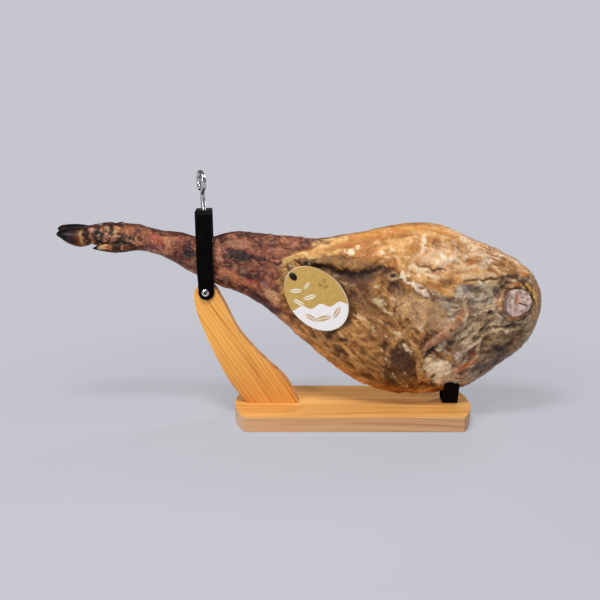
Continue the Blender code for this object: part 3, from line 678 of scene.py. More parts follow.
# %% Ribs of the ham
HAM_RIBS = [  # upper x, upper z, lower x, lower z, forward bulge, backward bulge, lower edge
    (-0.4300, 0.3075, -0.4280, 0.2815, 0.0190, 0.0190, 1.00),
    (-0.4050, 0.3118, -0.4050, 0.2800, 0.0225, 0.0225, 1.00),
    (-0.3760, 0.3152, -0.3760, 0.2718, 0.0235, 0.0235, 1.00),
    (-0.3430, 0.3130, -0.3450, 0.2708, 0.0215, 0.0215, 1.00),
    (-0.3140, 0.3050, -0.3180, 0.2676, 0.0190, 0.0190, 1.00),
    (-0.2730, 0.2996, -0.2830, 0.2523, 0.0215, 0.0215, 1.05),
    (-0.2400, 0.2922, -0.2490, 0.2322, 0.0235, 0.0235, 1.20),
    (-0.2210, 0.2928, -0.2290, 0.2226, 0.0238, 0.0242, 1.30),
    (-0.1980, 0.2998, -0.2060, 0.2120, 0.0265, 0.0275, 1.20),
    (-0.1500, 0.2982, -0.1660, 0.1970, 0.0325, 0.0355, 1.00),
    (-0.1000, 0.2935, -0.1240, 0.1672, 0.0380, 0.0430, 1.00),
    (-0.0580, 0.2892, -0.0780, 0.1250, 0.0430, 0.0505, 1.00),
    (-0.0150, 0.2955, -0.0330, 0.0870, 0.0490, 0.0570, 1.05),
    (0.0400, 0.3062, 0.0200, 0.0525, 0.0540, 0.0625, 1.15),
    (0.0950, 0.3146, 0.0850, 0.0368, 0.0560, 0.0640, 1.25),
    (0.1400, 0.3098, 0.1380, 0.0392, 0.0545, 0.0600, 1.35),
    (0.1850, 0.2905, 0.1850, 0.0502, 0.0500, 0.0550, 1.30),
    (0.2350, 0.2686, 0.2350, 0.0850, 0.0400, 0.0440, 1.10),
    (0.2700, 0.2472, 0.2720, 0.1168, 0.0280, 0.0310, 1.00),
    (0.2880, 0.2280, 0.2905, 0.1450, 0.0185, 0.0205, 1.00),
    (0.2958, 0.2110, 0.2975, 0.1670, 0.0105, 0.0115, 1.00),
]
BUTT_POLE = (0.2996, 0.0, 0.1900)
HOOF_POLE = (-0.4340, 0.0, 0.2950)
FACE_FULLNESS = 0.80
FACE_FORMS = [  # x, z, half length, half width, tilt in degrees, height
    (-0.036, 0.2400, 0.036, 0.010, -14.0, -0.0070),
    (0.0300, 0.2700, 0.090, 0.018, 8.0, 0.0050),
    (0.0750, 0.1100, 0.028, 0.026, 0.0, 0.0035),
    (0.1420, 0.1500, 0.042, 0.008, 38.0, 0.0060),
    (0.1200, 0.1220, 0.040, 0.009, 38.0, -0.0040),
    (0.2550, 0.1830, 0.020, 0.021, 0.0, 0.0060),
    (0.2150, 0.1900, 0.018, 0.036, 0.0, -0.0040),
]
rib_table = np.array(HAM_RIBS)
rib_steps = (np.linalg.norm(np.diff(rib_table[:, 0:2], axis=0), axis=1)
             + np.linalg.norm(np.diff(rib_table[:, 2:4], axis=0), axis=1)) / 2
rib_places = np.concatenate([[0.0], np.cumsum(rib_steps)])
print(len(HAM_RIBS), "ribs over", round(rib_places[-1], 3), "m")


# %% Rings of the ham
def face_form(x, z):
    """Height of the named swellings and hollows: each is rise * exp(-(along^2 + aside^2))."""
    total = np.zeros_like(x)
    for cx, cz, length, width, tilt, rise in FACE_FORMS:
        c, s = math.cos(math.radians(tilt)), math.sin(math.radians(tilt))
        along = ((x - cx) * c + (z - cz) * s) / length
        aside = ((z - cz) * c - (x - cx) * s) / width
        total += rise * np.exp(-(along**2 + aside**2))
    return total


def ham_rings(t, angle):
    """x and z slide along the rib with sin(angle); y is the bulge times |cos(angle)| to a power,
    and the face is flatter and the lower edge sharper where the rib says so."""
    ribs = smooth_through(rib_places, rib_table, t)
    ux, uz, lx, lz, forward, backward, edge = (ribs[:, i][:, None] for i in range(7))
    up, out = np.sin(angle)[None, :], np.cos(angle)[None, :]
    x = (ux + lx) / 2 + (ux - lx) / 2 * up
    z = (uz + lz) / 2 + (uz - lz) / 2 * up
    body = np.clip((forward - 0.030) / 0.020, 0.0, 1.0)
    front_power = 1 - (1 - FACE_FULLNESS) * body
    power = np.where(up < 0, np.maximum(edge * (0.4 + 0.6 * up**2), front_power), front_power)
    power = np.where(out > 0, np.where(up < 0, 1 + (edge - 1) * up**2, 1.0), power)
    swell = np.abs(out) ** power
    y = np.where(out > 0, backward, -forward) * swell
    y = np.where(out < 0, y - body * face_form(x, z) * swell, y)
    return np.stack([x, y, z], axis=-1)


def rounded_end(ring, pole, steps):
    """Rings from a last ring to its pole: the ring shrinks by cos(a) while its middle moves by sin(a)."""
    turn = np.linspace(0.0, math.pi / 2, steps + 1)[1:-1, None, None]
    centre = ring.mean(axis=0)
    return centre + (np.array(pole) - centre) * np.sin(turn) + (ring - centre) * np.cos(turn)


ALONG_STEPS = 400
FRONT_STEPS = 168
BACK_STEPS = 62
share = np.linspace(0.0, 1.0, ALONG_STEPS)
along_ham = rib_places[-1] * (1.10 * share - 0.10 * share**6)
face_share = np.linspace(-1.0, 1.0, FRONT_STEPS, endpoint=False)
front_angle = math.pi + math.pi / 2 * (0.68 * face_share + 0.32 * face_share**3)
back_angle = 1.5 * math.pi + np.linspace(0.0, math.pi, BACK_STEPS, endpoint=False)
ham_angle = np.concatenate([front_angle, back_angle])
body_rings = ham_rings(along_ham, ham_angle)
hoof_cap = rounded_end(body_rings[0], HOOF_POLE, 6)[::-1]
butt_cap = rounded_end(body_rings[-1], BUTT_POLE, 9)
base = np.concatenate([hoof_cap, body_rings, butt_cap])
print("ham grid", base.shape[:2])

# %% [markdown]
# ## Reading the surface
# To paint and carve, every point has to know where it is: how far it is from the upper and lower
# edges, whether it is on the face or on the rind, and which way it looks.  The look is the cross
# product of the steps along and round the grid.

# %% Where each point is
step_along = np.gradient(base, axis=0)
step_round = np.roll(base, -1, axis=1) - np.roll(base, 1, axis=1)
looks = np.cross(step_along, step_round)
looks /= np.linalg.norm(looks, axis=-1)[..., None] + 1e-12
if looks[200, FRONT_STEPS // 2, 1] > 0:
    looks = -looks
X, Y, Z = base[..., 0], base[..., 1], base[..., 2]
up = np.broadcast_to(np.sin(ham_angle), X.shape)
out = np.broadcast_to(np.cos(ham_angle), X.shape)
face = soft_step(-out, 0.02, 0.22)
edge_points = smooth_through(rib_places, rib_table, along_ham)
half_height = np.linalg.norm(edge_points[:, 0:2] - edge_points[:, 2:4], axis=1) / 2
half_height = np.concatenate([np.full(5, half_height[0]), half_height, np.full(8, half_height[-1])])[:, None]
from_top = (1 - up) * half_height
from_low = (1 + up) * half_height
ragged_x = 0.0035 * grown(base, 0.020, 11) + 0.0012 * grown(base, 0.005, 12, 2)
ragged_z = 0.0035 * grown(base, 0.020, 13) + 0.0012 * grown(base, 0.005, 14, 2)
PX, PZ = X + ragged_x, Z + ragged_z
bite = 0.5 * grown(base, 0.0050, 15, 3) + 0.45 * grown(drawn_out(base, -40.0, 4.0), 0.0040, 16, 2)
print("face points:", int((face > 0.5).sum()), "rind points:", int((face <= 0.5).sum()))

# %% [markdown]
# ## Carving and painting together
# Colour and form are laid together here: a crease is painted dark and carved deep, a tendon or crest painted pale and
# raised, so the dark of a crease is partly painted shade and the pale of a wet crest partly painted highlight.
# So each feature is laid once, as a mask that changes the colour, the height and the moisture at the same time.  Masks
# are ragged ellipses and ragged strokes along a few listed points.  They are read at slightly displaced places, and
# fibres bite into their edges, so nothing looks drawn on.


# %% Masks and layers
def bitten(mask):
    """The mask's soft edge, broken up: 0.5 of it moves in or out with the bite noise."""
    return mask * soft_step(mask + 0.55 * bite, 0.12, 0.62)


def patch(cx, cz, length, width, tilt=0.0, soft=0.45):
    """A ragged ellipse: 1 inside, falling off round the edge where (along^2 + aside^2) passes 1."""
    c, s = math.cos(math.radians(tilt)), math.sin(math.radians(tilt))
    along = ((PX - cx) * c + (PZ - cz) * s) / length
    aside = ((PZ - cz) * c - (PX - cx) * s) / width
    return face * bitten(1 - soft_step(np.hypot(along, aside), 1 - soft, 1 + soft))


def stroke(points, width, soft=0.5, ragged=1.0, broken=True):
    """A ragged line: 1 on it and 0 beyond width, by the distance to the nearest of its segments."""
    px = X + ragged_x * ragged
    pz = Z + ragged_z * ragged
    nearest = np.full(X.shape, 9.0)
    for (ax, az), (bx, bz) in zip(points, points[1:]):
        dx, dz = bx - ax, bz - az
        share = np.clip(((px - ax) * dx + (pz - az) * dz) / (dx * dx + dz * dz), 0, 1)
        nearest = np.minimum(nearest, np.hypot(px - ax - share * dx, pz - az - share * dz))
    line = 1 - soft_step(nearest, width * (1 - soft), width * (1 + soft))
    return face * (bitten(line) if broken else line)


FACE_LIGHT = 0.95     # how bright the lamps make white on the face
VEIL = 0.009          # what the damp surface reflects on top of its own colour
tone = np.zeros(X.shape + (3,))
relief = np.zeros(X.shape)
wet = np.zeros(X.shape)
grainy = np.zeros(X.shape)


def lay(mask, colour, cover=1.0, height=0.0, moist=None, grain=None):
    """One feature: colour and moisture by the mask times cover, height by the mask alone."""
    global tone, relief, wet, grainy
    share = (mask * cover)[..., None]
    tone = tone * (1 - share) + np.maximum(paint(*colour) - VEIL, 0.002) / FACE_LIGHT * share
    relief = relief + mask * height
    if moist is not None:
        wet = wet * (1 - mask) + moist * mask
    if grain is not None:
        grainy = grainy * (1 - mask) + grain * mask


print("layers ready")

# %% [markdown]
# ## Skin, fat and meat
# Three grounds come first.  The shank keeps its dark, dried skin.  A thick band of fat runs along the
# upper edge and turns yellow as it ages.  Below it is the bare meat, brown and fibrous, and the
# trimmed rind shows as an orange rim along the bottom.

# %% Noise of the grounds
def ridge(noise, width):
    """1 along the lines where the noise passes through zero, and 0 beyond width on both sides."""
    return 1 - soft_step(np.abs(noise), 0.0, width)


everywhere = np.ones(X.shape)
wander = base + 0.010 * np.stack([lumps(base, 0.050, 71), 0 * X, lumps(base, 0.050, 72)], axis=-1)
n_large = grown(base, 0.045, 21)
n_mid = grown(wander, 0.018, 22, 3)
n_fine = grown(wander, 0.0080, 23, 2)
n_speck = grown(base, 0.0040, 26, 1)
streaks_down = grown(drawn_out(wander, -44.0, 4.0), 0.0100, 24, 3)
streaks_rise = grown(drawn_out(wander, 36.0, 3.0), 0.0090, 27, 3)
streaks_level = grown(drawn_out(wander, -6.0, 4.0), 0.0090, 28, 3)
fat_left = grown(drawn_out(wander, 16.0, 4.0), 0.0120, 25, 3)
fat_right = grown(drawn_out(wander, -24.0, 4.0), 0.0120, 29, 3)
right_side = soft_step(X + 0.4 * (Z - 0.16), 0.128, 0.158)
low_right = right_side * (1 - soft_step(Z, 0.160, 0.185))
fibre = streaks_down * (1 - right_side) + streaks_rise * low_right + streaks_level * (right_side - low_right)
fat_crests = grown(drawn_out(wander, -14.0, 3.0), 0.0060, 35, 2)
glint_specks = grown(drawn_out(wander, -44.0, 2.2), 0.0036, 36, 1)
to_right = soft_step(X, 0.07, 0.13)
fat_folds = fat_left * (1 - to_right) + fat_right * to_right
print("streaks run down to the right on the left, level and rising on the right")

# %% The three grounds
SKIN_EDGE = [(-0.004, 0.310), (-0.018, 0.296), (-0.046, 0.286), (-0.080, 0.274), (-0.106, 0.260),
             (-0.116, 0.246), (-0.119, 0.230), (-0.117, 0.210), (-0.110, 0.190), (-0.092, 0.150)]
FAT_EDGE = [(-0.125, 0.250), (-0.100, 0.256), (-0.069, 0.262), (-0.038, 0.267), (-0.008, 0.268),
            (0.023, 0.262), (0.053, 0.250), (0.076, 0.243), (0.099, 0.231), (0.124, 0.214),
            (0.146, 0.205), (0.153, 0.221), (0.193, 0.229), (0.222, 0.234), (0.262, 0.240),
            (0.300, 0.225)]
skin_edge_x = np.interp(PZ, [z for x, z in SKIN_EDGE][::-1], [x for x, z in SKIN_EDGE][::-1])
fat_edge_z = np.interp(PX, [x for x, z in FAT_EDGE], [z for x, z in FAT_EDGE])
skin = soft_step(skin_edge_x - PX + 0.006 * fat_left + 0.002 * bite, -0.004, 0.006)
fat = face * (1 - skin) * soft_step(PZ - fat_edge_z + 0.004 * fat_folds + 0.002 * bite, -0.003, 0.005)
meat = face * (1 - skin) * (1 - fat)
meat_left = meat * (1 - right_side)
meat_right = meat * right_side


def both_ways(ground, noise, pale, dark, cover, start=0.05, full=0.60):
    """The ground gets paler where the noise is high and darker where it is low."""
    lay(ground * soft_step(noise, start, full), pale, cover)
    lay(ground * soft_step(-noise, start, full), dark, cover)


# The noises that also raise and sink the surface in the relief below (fibre, n_mid, n_fine, fat_folds, streaks_level)
# make it darker where it sinks and paler where it stands: partly the meat's own tone, partly painted shade in the
# hollows and painted highlight on the crests.
lay(everywhere, (172, 112, 58), grain=0.3, moist=0.15)
both_ways(everywhere, n_large, (190, 128, 66), (140, 84, 44), 0.7)
both_ways(everywhere, n_mid, (204, 150, 88), (120, 70, 38), 0.4)
lay(meat_left, (127, 79, 41), 1.0, grain=0.8, moist=0.50)
both_ways(meat_left, n_large, (176, 118, 62), (98, 59, 31), 0.60)
both_ways(meat_left, n_mid, (184, 128, 72), (84, 51, 28), 0.45)
both_ways(meat_left, fibre, (204, 150, 88), (58, 35, 20), 0.55)
both_ways(meat_left, n_fine, (204, 150, 90), (62, 37, 21), 0.35)
# Pale, raised, wet lines along the fibre crests: painted highlights.
lay(meat_left * ridge(fibre - 0.30, 0.10) * soft_step(n_mid, -0.1, 0.3), (236, 190, 124), 0.5, 0.0003, moist=0.9)
lay(meat_right, (174, 139, 105), 1.0, grain=0.9, moist=0.45)
both_ways(meat_right, n_mid, (206, 172, 128), (82, 60, 45), 0.55)
both_ways(meat_right, fibre, (234, 204, 162), (46, 32, 25), 0.66)
both_ways(meat_right, n_fine, (200, 170, 132), (60, 42, 32), 0.35)
# Dark sunk lines: partly painted shade in the creases.  Pale raised wet lines: painted highlights.
lay(meat_right * ridge(fibre + 0.15, 0.07) * soft_step(n_mid, -0.2, 0.2), (34, 23, 18), 0.7, -0.0006)
lay(meat_right * ridge(fibre - 0.25, 0.07) * soft_step(-n_mid, -0.3, 0.1), (228, 204, 166), 0.6, 0.0005, moist=0.8)
lay(meat_right * soft_step(n_large, -0.1, 0.4) * soft_step(streaks_rise, -0.2, 0.4), (154, 150, 140), 0.45)
lay(fat, (198, 136, 72), 1.0, grain=0.25, moist=0.5)
both_ways(fat, n_large, (214, 152, 82), (176, 112, 56), 0.50)
both_ways(fat, fat_folds, (236, 184, 118), (150, 88, 44), 0.65)
both_ways(fat, n_fine, (228, 176, 114), (150, 92, 50), 0.40)
# Dark sunk lines in the folds are partly painted shade; pale raised wet lines are painted highlights.
lay(fat * ridge(fat_folds + 0.25, 0.08), (128, 74, 38), 0.45, -0.0005)
lay(fat * ridge(fat_folds - 0.35, 0.09) * soft_step(n_fine, -0.2, 0.3), (244, 212, 160), 0.6, 0.0003, moist=1.0)
lay(fat * soft_step(0.016 - from_top, 0.0, 0.012), (226, 154, 70), 0.5)
lay(skin, (116, 58, 40), 1.0, grain=0.9, moist=0.35)
both_ways(skin, n_mid, (152, 88, 62), (62, 29, 22), 0.60)
both_ways(skin, streaks_level, (172, 108, 76), (50, 24, 19), 0.60)
both_ways(skin, n_fine, (176, 118, 86), (48, 23, 18), 0.35)
both_ways(skin, n_speck, (190, 132, 96), (46, 22, 17), 0.35, 0.15, 0.60)
print("fat covers", round(float(fat.mean()), 3), "of the grid, skin", round(float(skin.mean()), 3))

# %% [markdown]
# ## Pastern and shank
# Above the hoof the skin is creased and yellowed, with dark cracks where the joint bent.  Along the
# shank it dried tight over bone and tendon: red and plum where the meat shows through, nearly black
# where the clamp pressed it, and with one long vein.

# %% Paint the shank
foot = soft_step(-X, 0.335, 0.365)
knobs = grown(base, 0.0085, 33, 2)
cracks = ridge(grown(drawn_out(base, 70.0, 1.8), 0.0095, 34, 2), 0.13)
lay(foot, (92, 54, 38), 0.9, grain=0.6, moist=0.9)
# Paler on the knobs and darker, with black cracks, between them where the relief below sinks: partly the skin's own
# colour, partly painted shade in the hollows.
both_ways(foot, knobs, (152, 94, 62), (32, 17, 13), 0.75, 0.05, 0.45)
both_ways(foot, n_speck, (196, 146, 108), (30, 16, 13), 0.55)
lay(foot * cracks * soft_step(-knobs, -0.35, 0.1), (26, 14, 12), 0.85, -0.0011, moist=0.3)
lay(foot * soft_step(0.006 - from_top, 0.0, 0.004), (44, 23, 18), 0.7)
lay(foot * soft_step(0.005 - from_low, 0.0, 0.004), (52, 28, 20), 0.6)
lay(patch(-0.4225, 0.300, 0.0030, 0.0060), (204, 160, 104), 0.75, 0.0008, moist=0.8)
lay(patch(-0.4215, 0.287, 0.0030, 0.0055), (160, 88, 44), 0.75, 0.0008, moist=0.8)
lay(stroke([(-0.417, 0.308), (-0.4155, 0.297), (-0.4165, 0.285)], 0.0016), (24, 13, 11), 0.95, -0.0014)
lay(patch(-0.410, 0.295, 0.0060, 0.0060), (116, 80, 62), 0.5, 0.0008)
# Painted highlight: a pink-white wet patch on the pastern.
lay(patch(-0.4030, 0.3040, 0.0034, 0.0024), (206, 154, 132), 0.65, 0.0010, moist=1.0)
lay(patch(-0.405, 0.288, 0.0050, 0.0036), (170, 98, 54), 0.6)
lay(stroke([(-0.397, 0.311), (-0.392, 0.302), (-0.390, 0.292), (-0.393, 0.286)], 0.0020), (24, 13, 11), 0.95, -0.0022)
lay(stroke([(-0.402, 0.297), (-0.395, 0.300)], 0.0014), (30, 16, 13), 0.9, -0.0014)
lay(patch(-0.3830, 0.3095, 0.0030, 0.0024), (180, 138, 92), 0.40, 0.0006, moist=0.8)
lay(patch(-0.3705, 0.3080, 0.0030, 0.0056), (204, 158, 104), 0.6, 0.0010, moist=0.8)
lay(stroke([(-0.377, 0.313), (-0.376, 0.300), (-0.381, 0.291)], 0.0018), (30, 16, 13), 0.9, -0.0014)
lay(patch(-0.352, 0.306, 0.0100, 0.0050), (156, 90, 52), 0.6)
lay(patch(-0.344, 0.281, 0.0070, 0.0060), (118, 56, 38), 0.6)
lay(stroke([(-0.341, 0.294), (-0.338, 0.287), (-0.333, 0.283)], 0.0018), (206, 164, 114), 0.7, 0.0008, moist=0.8)
lay(stroke([(-0.347, 0.290), (-0.343, 0.282), (-0.337, 0.278)], 0.0014), (200, 150, 100), 0.6, 0.0006, moist=0.8)
lay(stroke([(-0.388, 0.2865), (-0.374, 0.2870), (-0.360, 0.2855), (-0.350, 0.2845)], 0.0028), (24, 13, 11), 0.95, -0.0018)
lay(patch(-0.326, 0.300, 0.0110, 0.0060, -10), (166, 100, 62), 0.5, moist=0.6)
lay(patch(-0.309, 0.291, 0.0140, 0.0070, -8), (174, 86, 60), 0.6, moist=0.6)
lay(patch(-0.314, 0.279, 0.0110, 0.0050), (108, 60, 66), 0.7)
lay(patch(-0.291, 0.286, 0.0065, 0.0100), (188, 130, 92), 0.7)
lay(patch(-0.294, 0.270, 0.0080, 0.0050), (160, 112, 86), 0.55)
lay(patch(-0.258, 0.268, 0.0100, 0.0130), (40, 19, 21), 0.85, -0.0010)
lay(patch(-0.268, 0.287, 0.0100, 0.0060), (132, 66, 52), 0.6)
lay(patch(-0.214, 0.275, 0.0080, 0.0190), (178, 118, 92), 0.75, moist=0.5)
lay(patch(-0.203, 0.289, 0.0050, 0.0040), (60, 32, 28), 0.8)
lay(patch(-0.180, 0.285, 0.0170, 0.0070, -6), (168, 118, 88), 0.7)
lay(patch(-0.181, 0.268, 0.0200, 0.0090, -10), (30, 14, 13), 0.9, -0.0014)
lay(stroke([(-0.160, 0.263), (-0.143, 0.259), (-0.121, 0.256), (-0.104, 0.257)], 0.0026), (32, 16, 15), 0.85, -0.0014)
lay(patch(-0.135, 0.272, 0.0180, 0.0070, -6), (146, 84, 58), 0.6)
lay(patch(-0.125, 0.248, 0.0140, 0.0070), (132, 76, 56), 0.5)
lay(stroke([(-0.208, 0.241), (-0.184, 0.229), (-0.159, 0.219)], 0.0065), (182, 112, 76), 0.75, 0.0010, moist=0.5)
lay(stroke([(-0.168, 0.229), (-0.153, 0.223)], 0.0034), (146, 60, 44), 0.55)
lay(patch(-0.139, 0.221, 0.0060, 0.0050), (116, 96, 86), 0.7, -0.0008)
lay(patch(-0.172, 0.244, 0.0080, 0.0050), (122, 100, 90), 0.6, -0.0006)
lay(patch(-0.128, 0.203, 0.0150, 0.0100, -40), (206, 156, 112), 0.75, 0.0006)
lay(stroke([(-0.158, 0.197), (-0.136, 0.188), (-0.118, 0.178)], 0.0070), (66, 34, 36), 0.75)
lay(skin * soft_step(0.006 - from_top, 0.0, 0.004) * soft_step(-X, 0.12, 0.16), (66, 34, 28), 0.6)
print("shank painted")

# %% [markdown]
# ## Fat, folds and creases
# The fat hangs in soft rolls along the top.  Below its first roll a fold of darker fat overhangs a deep crevice painted
# black as painted shade, and further right the white stripes are painted highlights where the wet cut surfaces catch
# the lamps.

# %% Paint the fat
OLIVE_FOLD = [(-0.072, 0.258), (-0.045, 0.260), (-0.015, 0.258), (0.012, 0.256), (0.034, 0.253)]
CREVICE = [(-0.074, 0.255), (-0.052, 0.252), (-0.038, 0.246), (-0.020, 0.240), (-0.004, 0.239),
           (0.015, 0.244), (0.036, 0.249)]
HOLLOW = [(-0.030, 0.236), (-0.006, 0.231), (0.022, 0.238)]


def painted_glints_and_shade(where, noise, low, colour, cover, height=0.0006):
    """Painted highlights where the colour is pale and painted shade where it is dark and sinks: inside where, only on
    the crests of a streaky noise.
    """
    lay(where * soft_step(noise, low, low + 0.35), colour, cover, height, moist=1.0)


# HOLLOW and CREVICE are painted dark brown and near black: painted shade in the hollow under the fold and in the
# crevice.
lay(stroke(HOLLOW, 0.0110, 0.8), (84, 54, 34), 0.75, -0.0010)
lay(stroke(OLIVE_FOLD, 0.0080, 0.7), (150, 108, 64), 0.85, 0.0022, moist=0.5)
painted_glints_and_shade(stroke(OLIVE_FOLD, 0.0075, 0.7), fat_left, 0.10, (196, 150, 96), 0.7)
lay(stroke(CREVICE, 0.0078, 0.9), (66, 42, 27), 0.80, -0.0026, moist=0.2)
lay(stroke(CREVICE, 0.0030, 0.9), (34, 20, 14), 0.75, -0.0012, moist=0.1)
painted_glints_and_shade(stroke([(-0.030, 0.234), (-0.004, 0.227), (0.024, 0.234)], 0.0050), fat_left, 0.0, (176, 150, 116), 0.7)
# Pale wet streaks on the fat: painted highlights.
PALE_STREAKS = [
    ([(-0.112, 0.257), (-0.084, 0.268), (-0.054, 0.278), (-0.016, 0.291)], 0.0030),
    ([(-0.088, 0.262), (-0.052, 0.271), (-0.020, 0.277)], 0.0024),
    ([(-0.060, 0.284), (-0.036, 0.290), (-0.010, 0.299)], 0.0020),
]
for points, width in PALE_STREAKS:
    painted_glints_and_shade(stroke(points, 1.6 * width), fat_crests, -0.25, (236, 196, 128), 0.6)
    lay(stroke(points, width), (232, 190, 120), 0.35, 0.0008, moist=0.8)
lay(stroke([(-0.100, 0.266), (-0.070, 0.279), (-0.040, 0.287)], 0.0018), (146, 92, 50), 0.6, -0.0008)
lay(stroke([(-0.030, 0.283), (0.020, 0.290), (0.060, 0.300)], 0.0030), (186, 118, 60), 0.5, -0.0010)
lay(patch(0.030, 0.262, 0.0300, 0.0070, -6), (178, 118, 62), 0.5)
# Small pale wet patches: painted highlights.
painted_glints_and_shade(patch(0.000, 0.276, 0.0150, 0.0060, 8), n_fine, -0.10, (252, 230, 196), 0.9)
painted_glints_and_shade(patch(0.079, 0.242, 0.0080, 0.0040), n_fine, -0.20, (244, 220, 186), 0.7)
painted_glints_and_shade(patch(0.107, 0.286, 0.0046, 0.0160, -8), n_speck, -0.45, (250, 226, 190), 0.85)
lay(patch(0.127, 0.283, 0.0110, 0.0075), (132, 78, 44), 0.85, -0.0024)
lay(stroke([(0.116, 0.296), (0.136, 0.292), (0.150, 0.282), (0.140, 0.273)], 0.0022), (228, 174, 112), 0.45, 0.0008)
# A pale patch of painted highlight on the wet fat, with painted glints on its crests and painted shade in its troughs.
painted_sheen_area = patch(0.150, 0.262, 0.0520, 0.0240, -4, 0.6)
lay(painted_sheen_area, (234, 182, 130), 0.70)
painted_glints_and_shade(painted_sheen_area, fat_crests, -0.05, (242, 208, 166), 0.70, 0.0006)
painted_glints_and_shade(painted_sheen_area, -fat_crests, 0.25, (160, 106, 62), 0.60, -0.0006)
painted_glints_and_shade(painted_sheen_area, glint_specks, 0.35, (252, 232, 204), 0.60, 0.0003)
# Painted highlight: the large white wet streak on the fat.
lay(patch(0.141, 0.262, 0.0240, 0.0060, 14), (244, 214, 176), 0.55, 0.0010, moist=1.0)
lay(stroke([(0.097, 0.255), (0.118, 0.249), (0.138, 0.248)], 0.0017), (84, 50, 30), 0.8, -0.0016)
painted_glints_and_shade(stroke([(0.088, 0.252), (0.108, 0.244), (0.126, 0.239)], 0.0050), n_speck, -0.40, (244, 216, 180), 0.8)
lay(patch(0.059, 0.239, 0.0075, 0.0070), (200, 160, 112), 0.7, 0.0010)
lay(patch(0.059, 0.239, 0.0036, 0.0034), (40, 22, 16), 0.9, -0.0030)
painted_glints_and_shade(stroke([(0.073, 0.239), (0.096, 0.223), (0.115, 0.211)], 0.0055), n_speck, -0.50, (246, 224, 194), 0.85, 0.0012)
lay(stroke([(0.058, 0.226), (0.080, 0.209), (0.100, 0.196)], 0.0034), (70, 42, 27), 0.8, -0.0014)
lay(stroke([(0.090, 0.208), (0.108, 0.199), (0.124, 0.192)], 0.0050), (196, 150, 102), 0.6)
lay(patch(0.139, 0.228, 0.0100, 0.0070), (108, 70, 42), 0.7, -0.0012)
lay(patch(0.146, 0.202, 0.0080, 0.0060), (104, 64, 56), 0.7)
painted_glints_and_shade(stroke([(0.166, 0.290), (0.186, 0.277)], 0.0050), n_speck, -0.50, (248, 220, 178), 0.8)
lay(patch(0.178, 0.257, 0.0085, 0.0060), (176, 102, 50), 0.8, -0.0012)
# Pale crests on the far fat are painted highlights; its dark sunk troughs are partly painted shade.
far_area = patch(0.222, 0.258, 0.0360, 0.0150, -14, 0.6)
lay(far_area, (208, 158, 108), 0.6)
painted_glints_and_shade(far_area, fat_crests, 0.0, (240, 208, 168), 0.85, 0.0009)
painted_glints_and_shade(far_area, -fat_crests, 0.15, (96, 64, 42), 0.55, -0.0010)
painted_glints_and_shade(patch(0.204, 0.254, 0.0120, 0.0045, 18), n_speck, -0.50, (246, 220, 188), 0.8)
painted_glints_and_shade(patch(0.229, 0.265, 0.0100, 0.0040, -12), n_speck, -0.50, (244, 216, 182), 0.8)
painted_glints_and_shade(stroke([(0.163, 0.236), (0.190, 0.239), (0.218, 0.241)], 0.0042), fat_right, -0.40, (226, 190, 146), 0.8, 0.0014)
lay(stroke([(0.166, 0.230), (0.196, 0.232), (0.232, 0.236)], 0.0020, 0.8), (44, 27, 20), 0.85, -0.0018)
lay(patch(0.252, 0.236, 0.0110, 0.0055), (78, 44, 27), 0.8, -0.0014)
lay(patch(0.266, 0.236, 0.0060, 0.0050), (210, 126, 62), 0.75, 0.0006)
print("fat painted")

# %% [markdown]
# ## Muscles and bones of the cut face
# Where the ham was trimmed, single muscles, the pelvic bone and the sawn thigh bone show.  Each has its own colour:
# olive brown, grey with a bloom of mould, amber, or the cream of bone.  Thin pale lines of tendon run between them.
# Pale wet marks on the muscles are painted highlights, and their dark sunk streaks are partly painted shade.

# %% Paint the cut face
grey_muscle = patch(0.190, 0.208, 0.0330, 0.0180, 4, 0.6)
lay(grey_muscle, (168, 145, 119), 0.75, 0.0010)
painted_glints_and_shade(grey_muscle, streaks_level, 0.05, (198, 178, 148), 0.65, 0.0004)
painted_glints_and_shade(grey_muscle, -streaks_level, 0.20, (72, 58, 46), 0.70, -0.0006)
lay(patch(0.164, 0.214, 0.0090, 0.0110), (160, 154, 146), 0.6, 0.0006)
lay(stroke([(0.176, 0.200), (0.200, 0.197), (0.222, 0.203)], 0.0028), (84, 64, 48), 0.6, -0.0008)
lay(patch(0.176, 0.184, 0.0100, 0.0070), (184, 160, 130), 0.6)
lay(stroke([(0.174, 0.176), (0.190, 0.179), (0.208, 0.180)], 0.0018), (224, 198, 160), 0.8, 0.0006)
lay(patch(0.212, 0.177, 0.0060, 0.0040), (38, 24, 18), 0.8, -0.0012)
lobe = patch(0.232, 0.128, 0.0390, 0.0240, 2, 0.5)
lay(lobe, (92, 66, 42), 0.85, 0.0022, moist=0.45)
painted_glints_and_shade(lobe, streaks_level, 0.10, (168, 134, 92), 0.65, 0.0004)
painted_glints_and_shade(lobe, -streaks_level, 0.15, (40, 28, 21), 0.75, -0.0006)
lay(patch(0.246, 0.138, 0.0180, 0.0080), (136, 102, 64), 0.5)
lobe_edge = [(0.190, 0.112), (0.191, 0.128), (0.200, 0.143), (0.222, 0.152), (0.262, 0.150)]
lay(stroke(lobe_edge, 0.0020), (214, 178, 132), 0.65, 0.0008, moist=0.8)
lay(stroke([(0.196, 0.150), (0.222, 0.158), (0.262, 0.158)], 0.0026, 0.8), (44, 29, 21), 0.75, -0.0016)
# Painted highlight on the lobe's upper edge.
lay(patch(0.239, 0.150, 0.0060, 0.0022), (240, 212, 178), 0.8, moist=1.0)
lay(patch(0.185, 0.116, 0.0070, 0.0060), (140, 60, 40), 0.6)
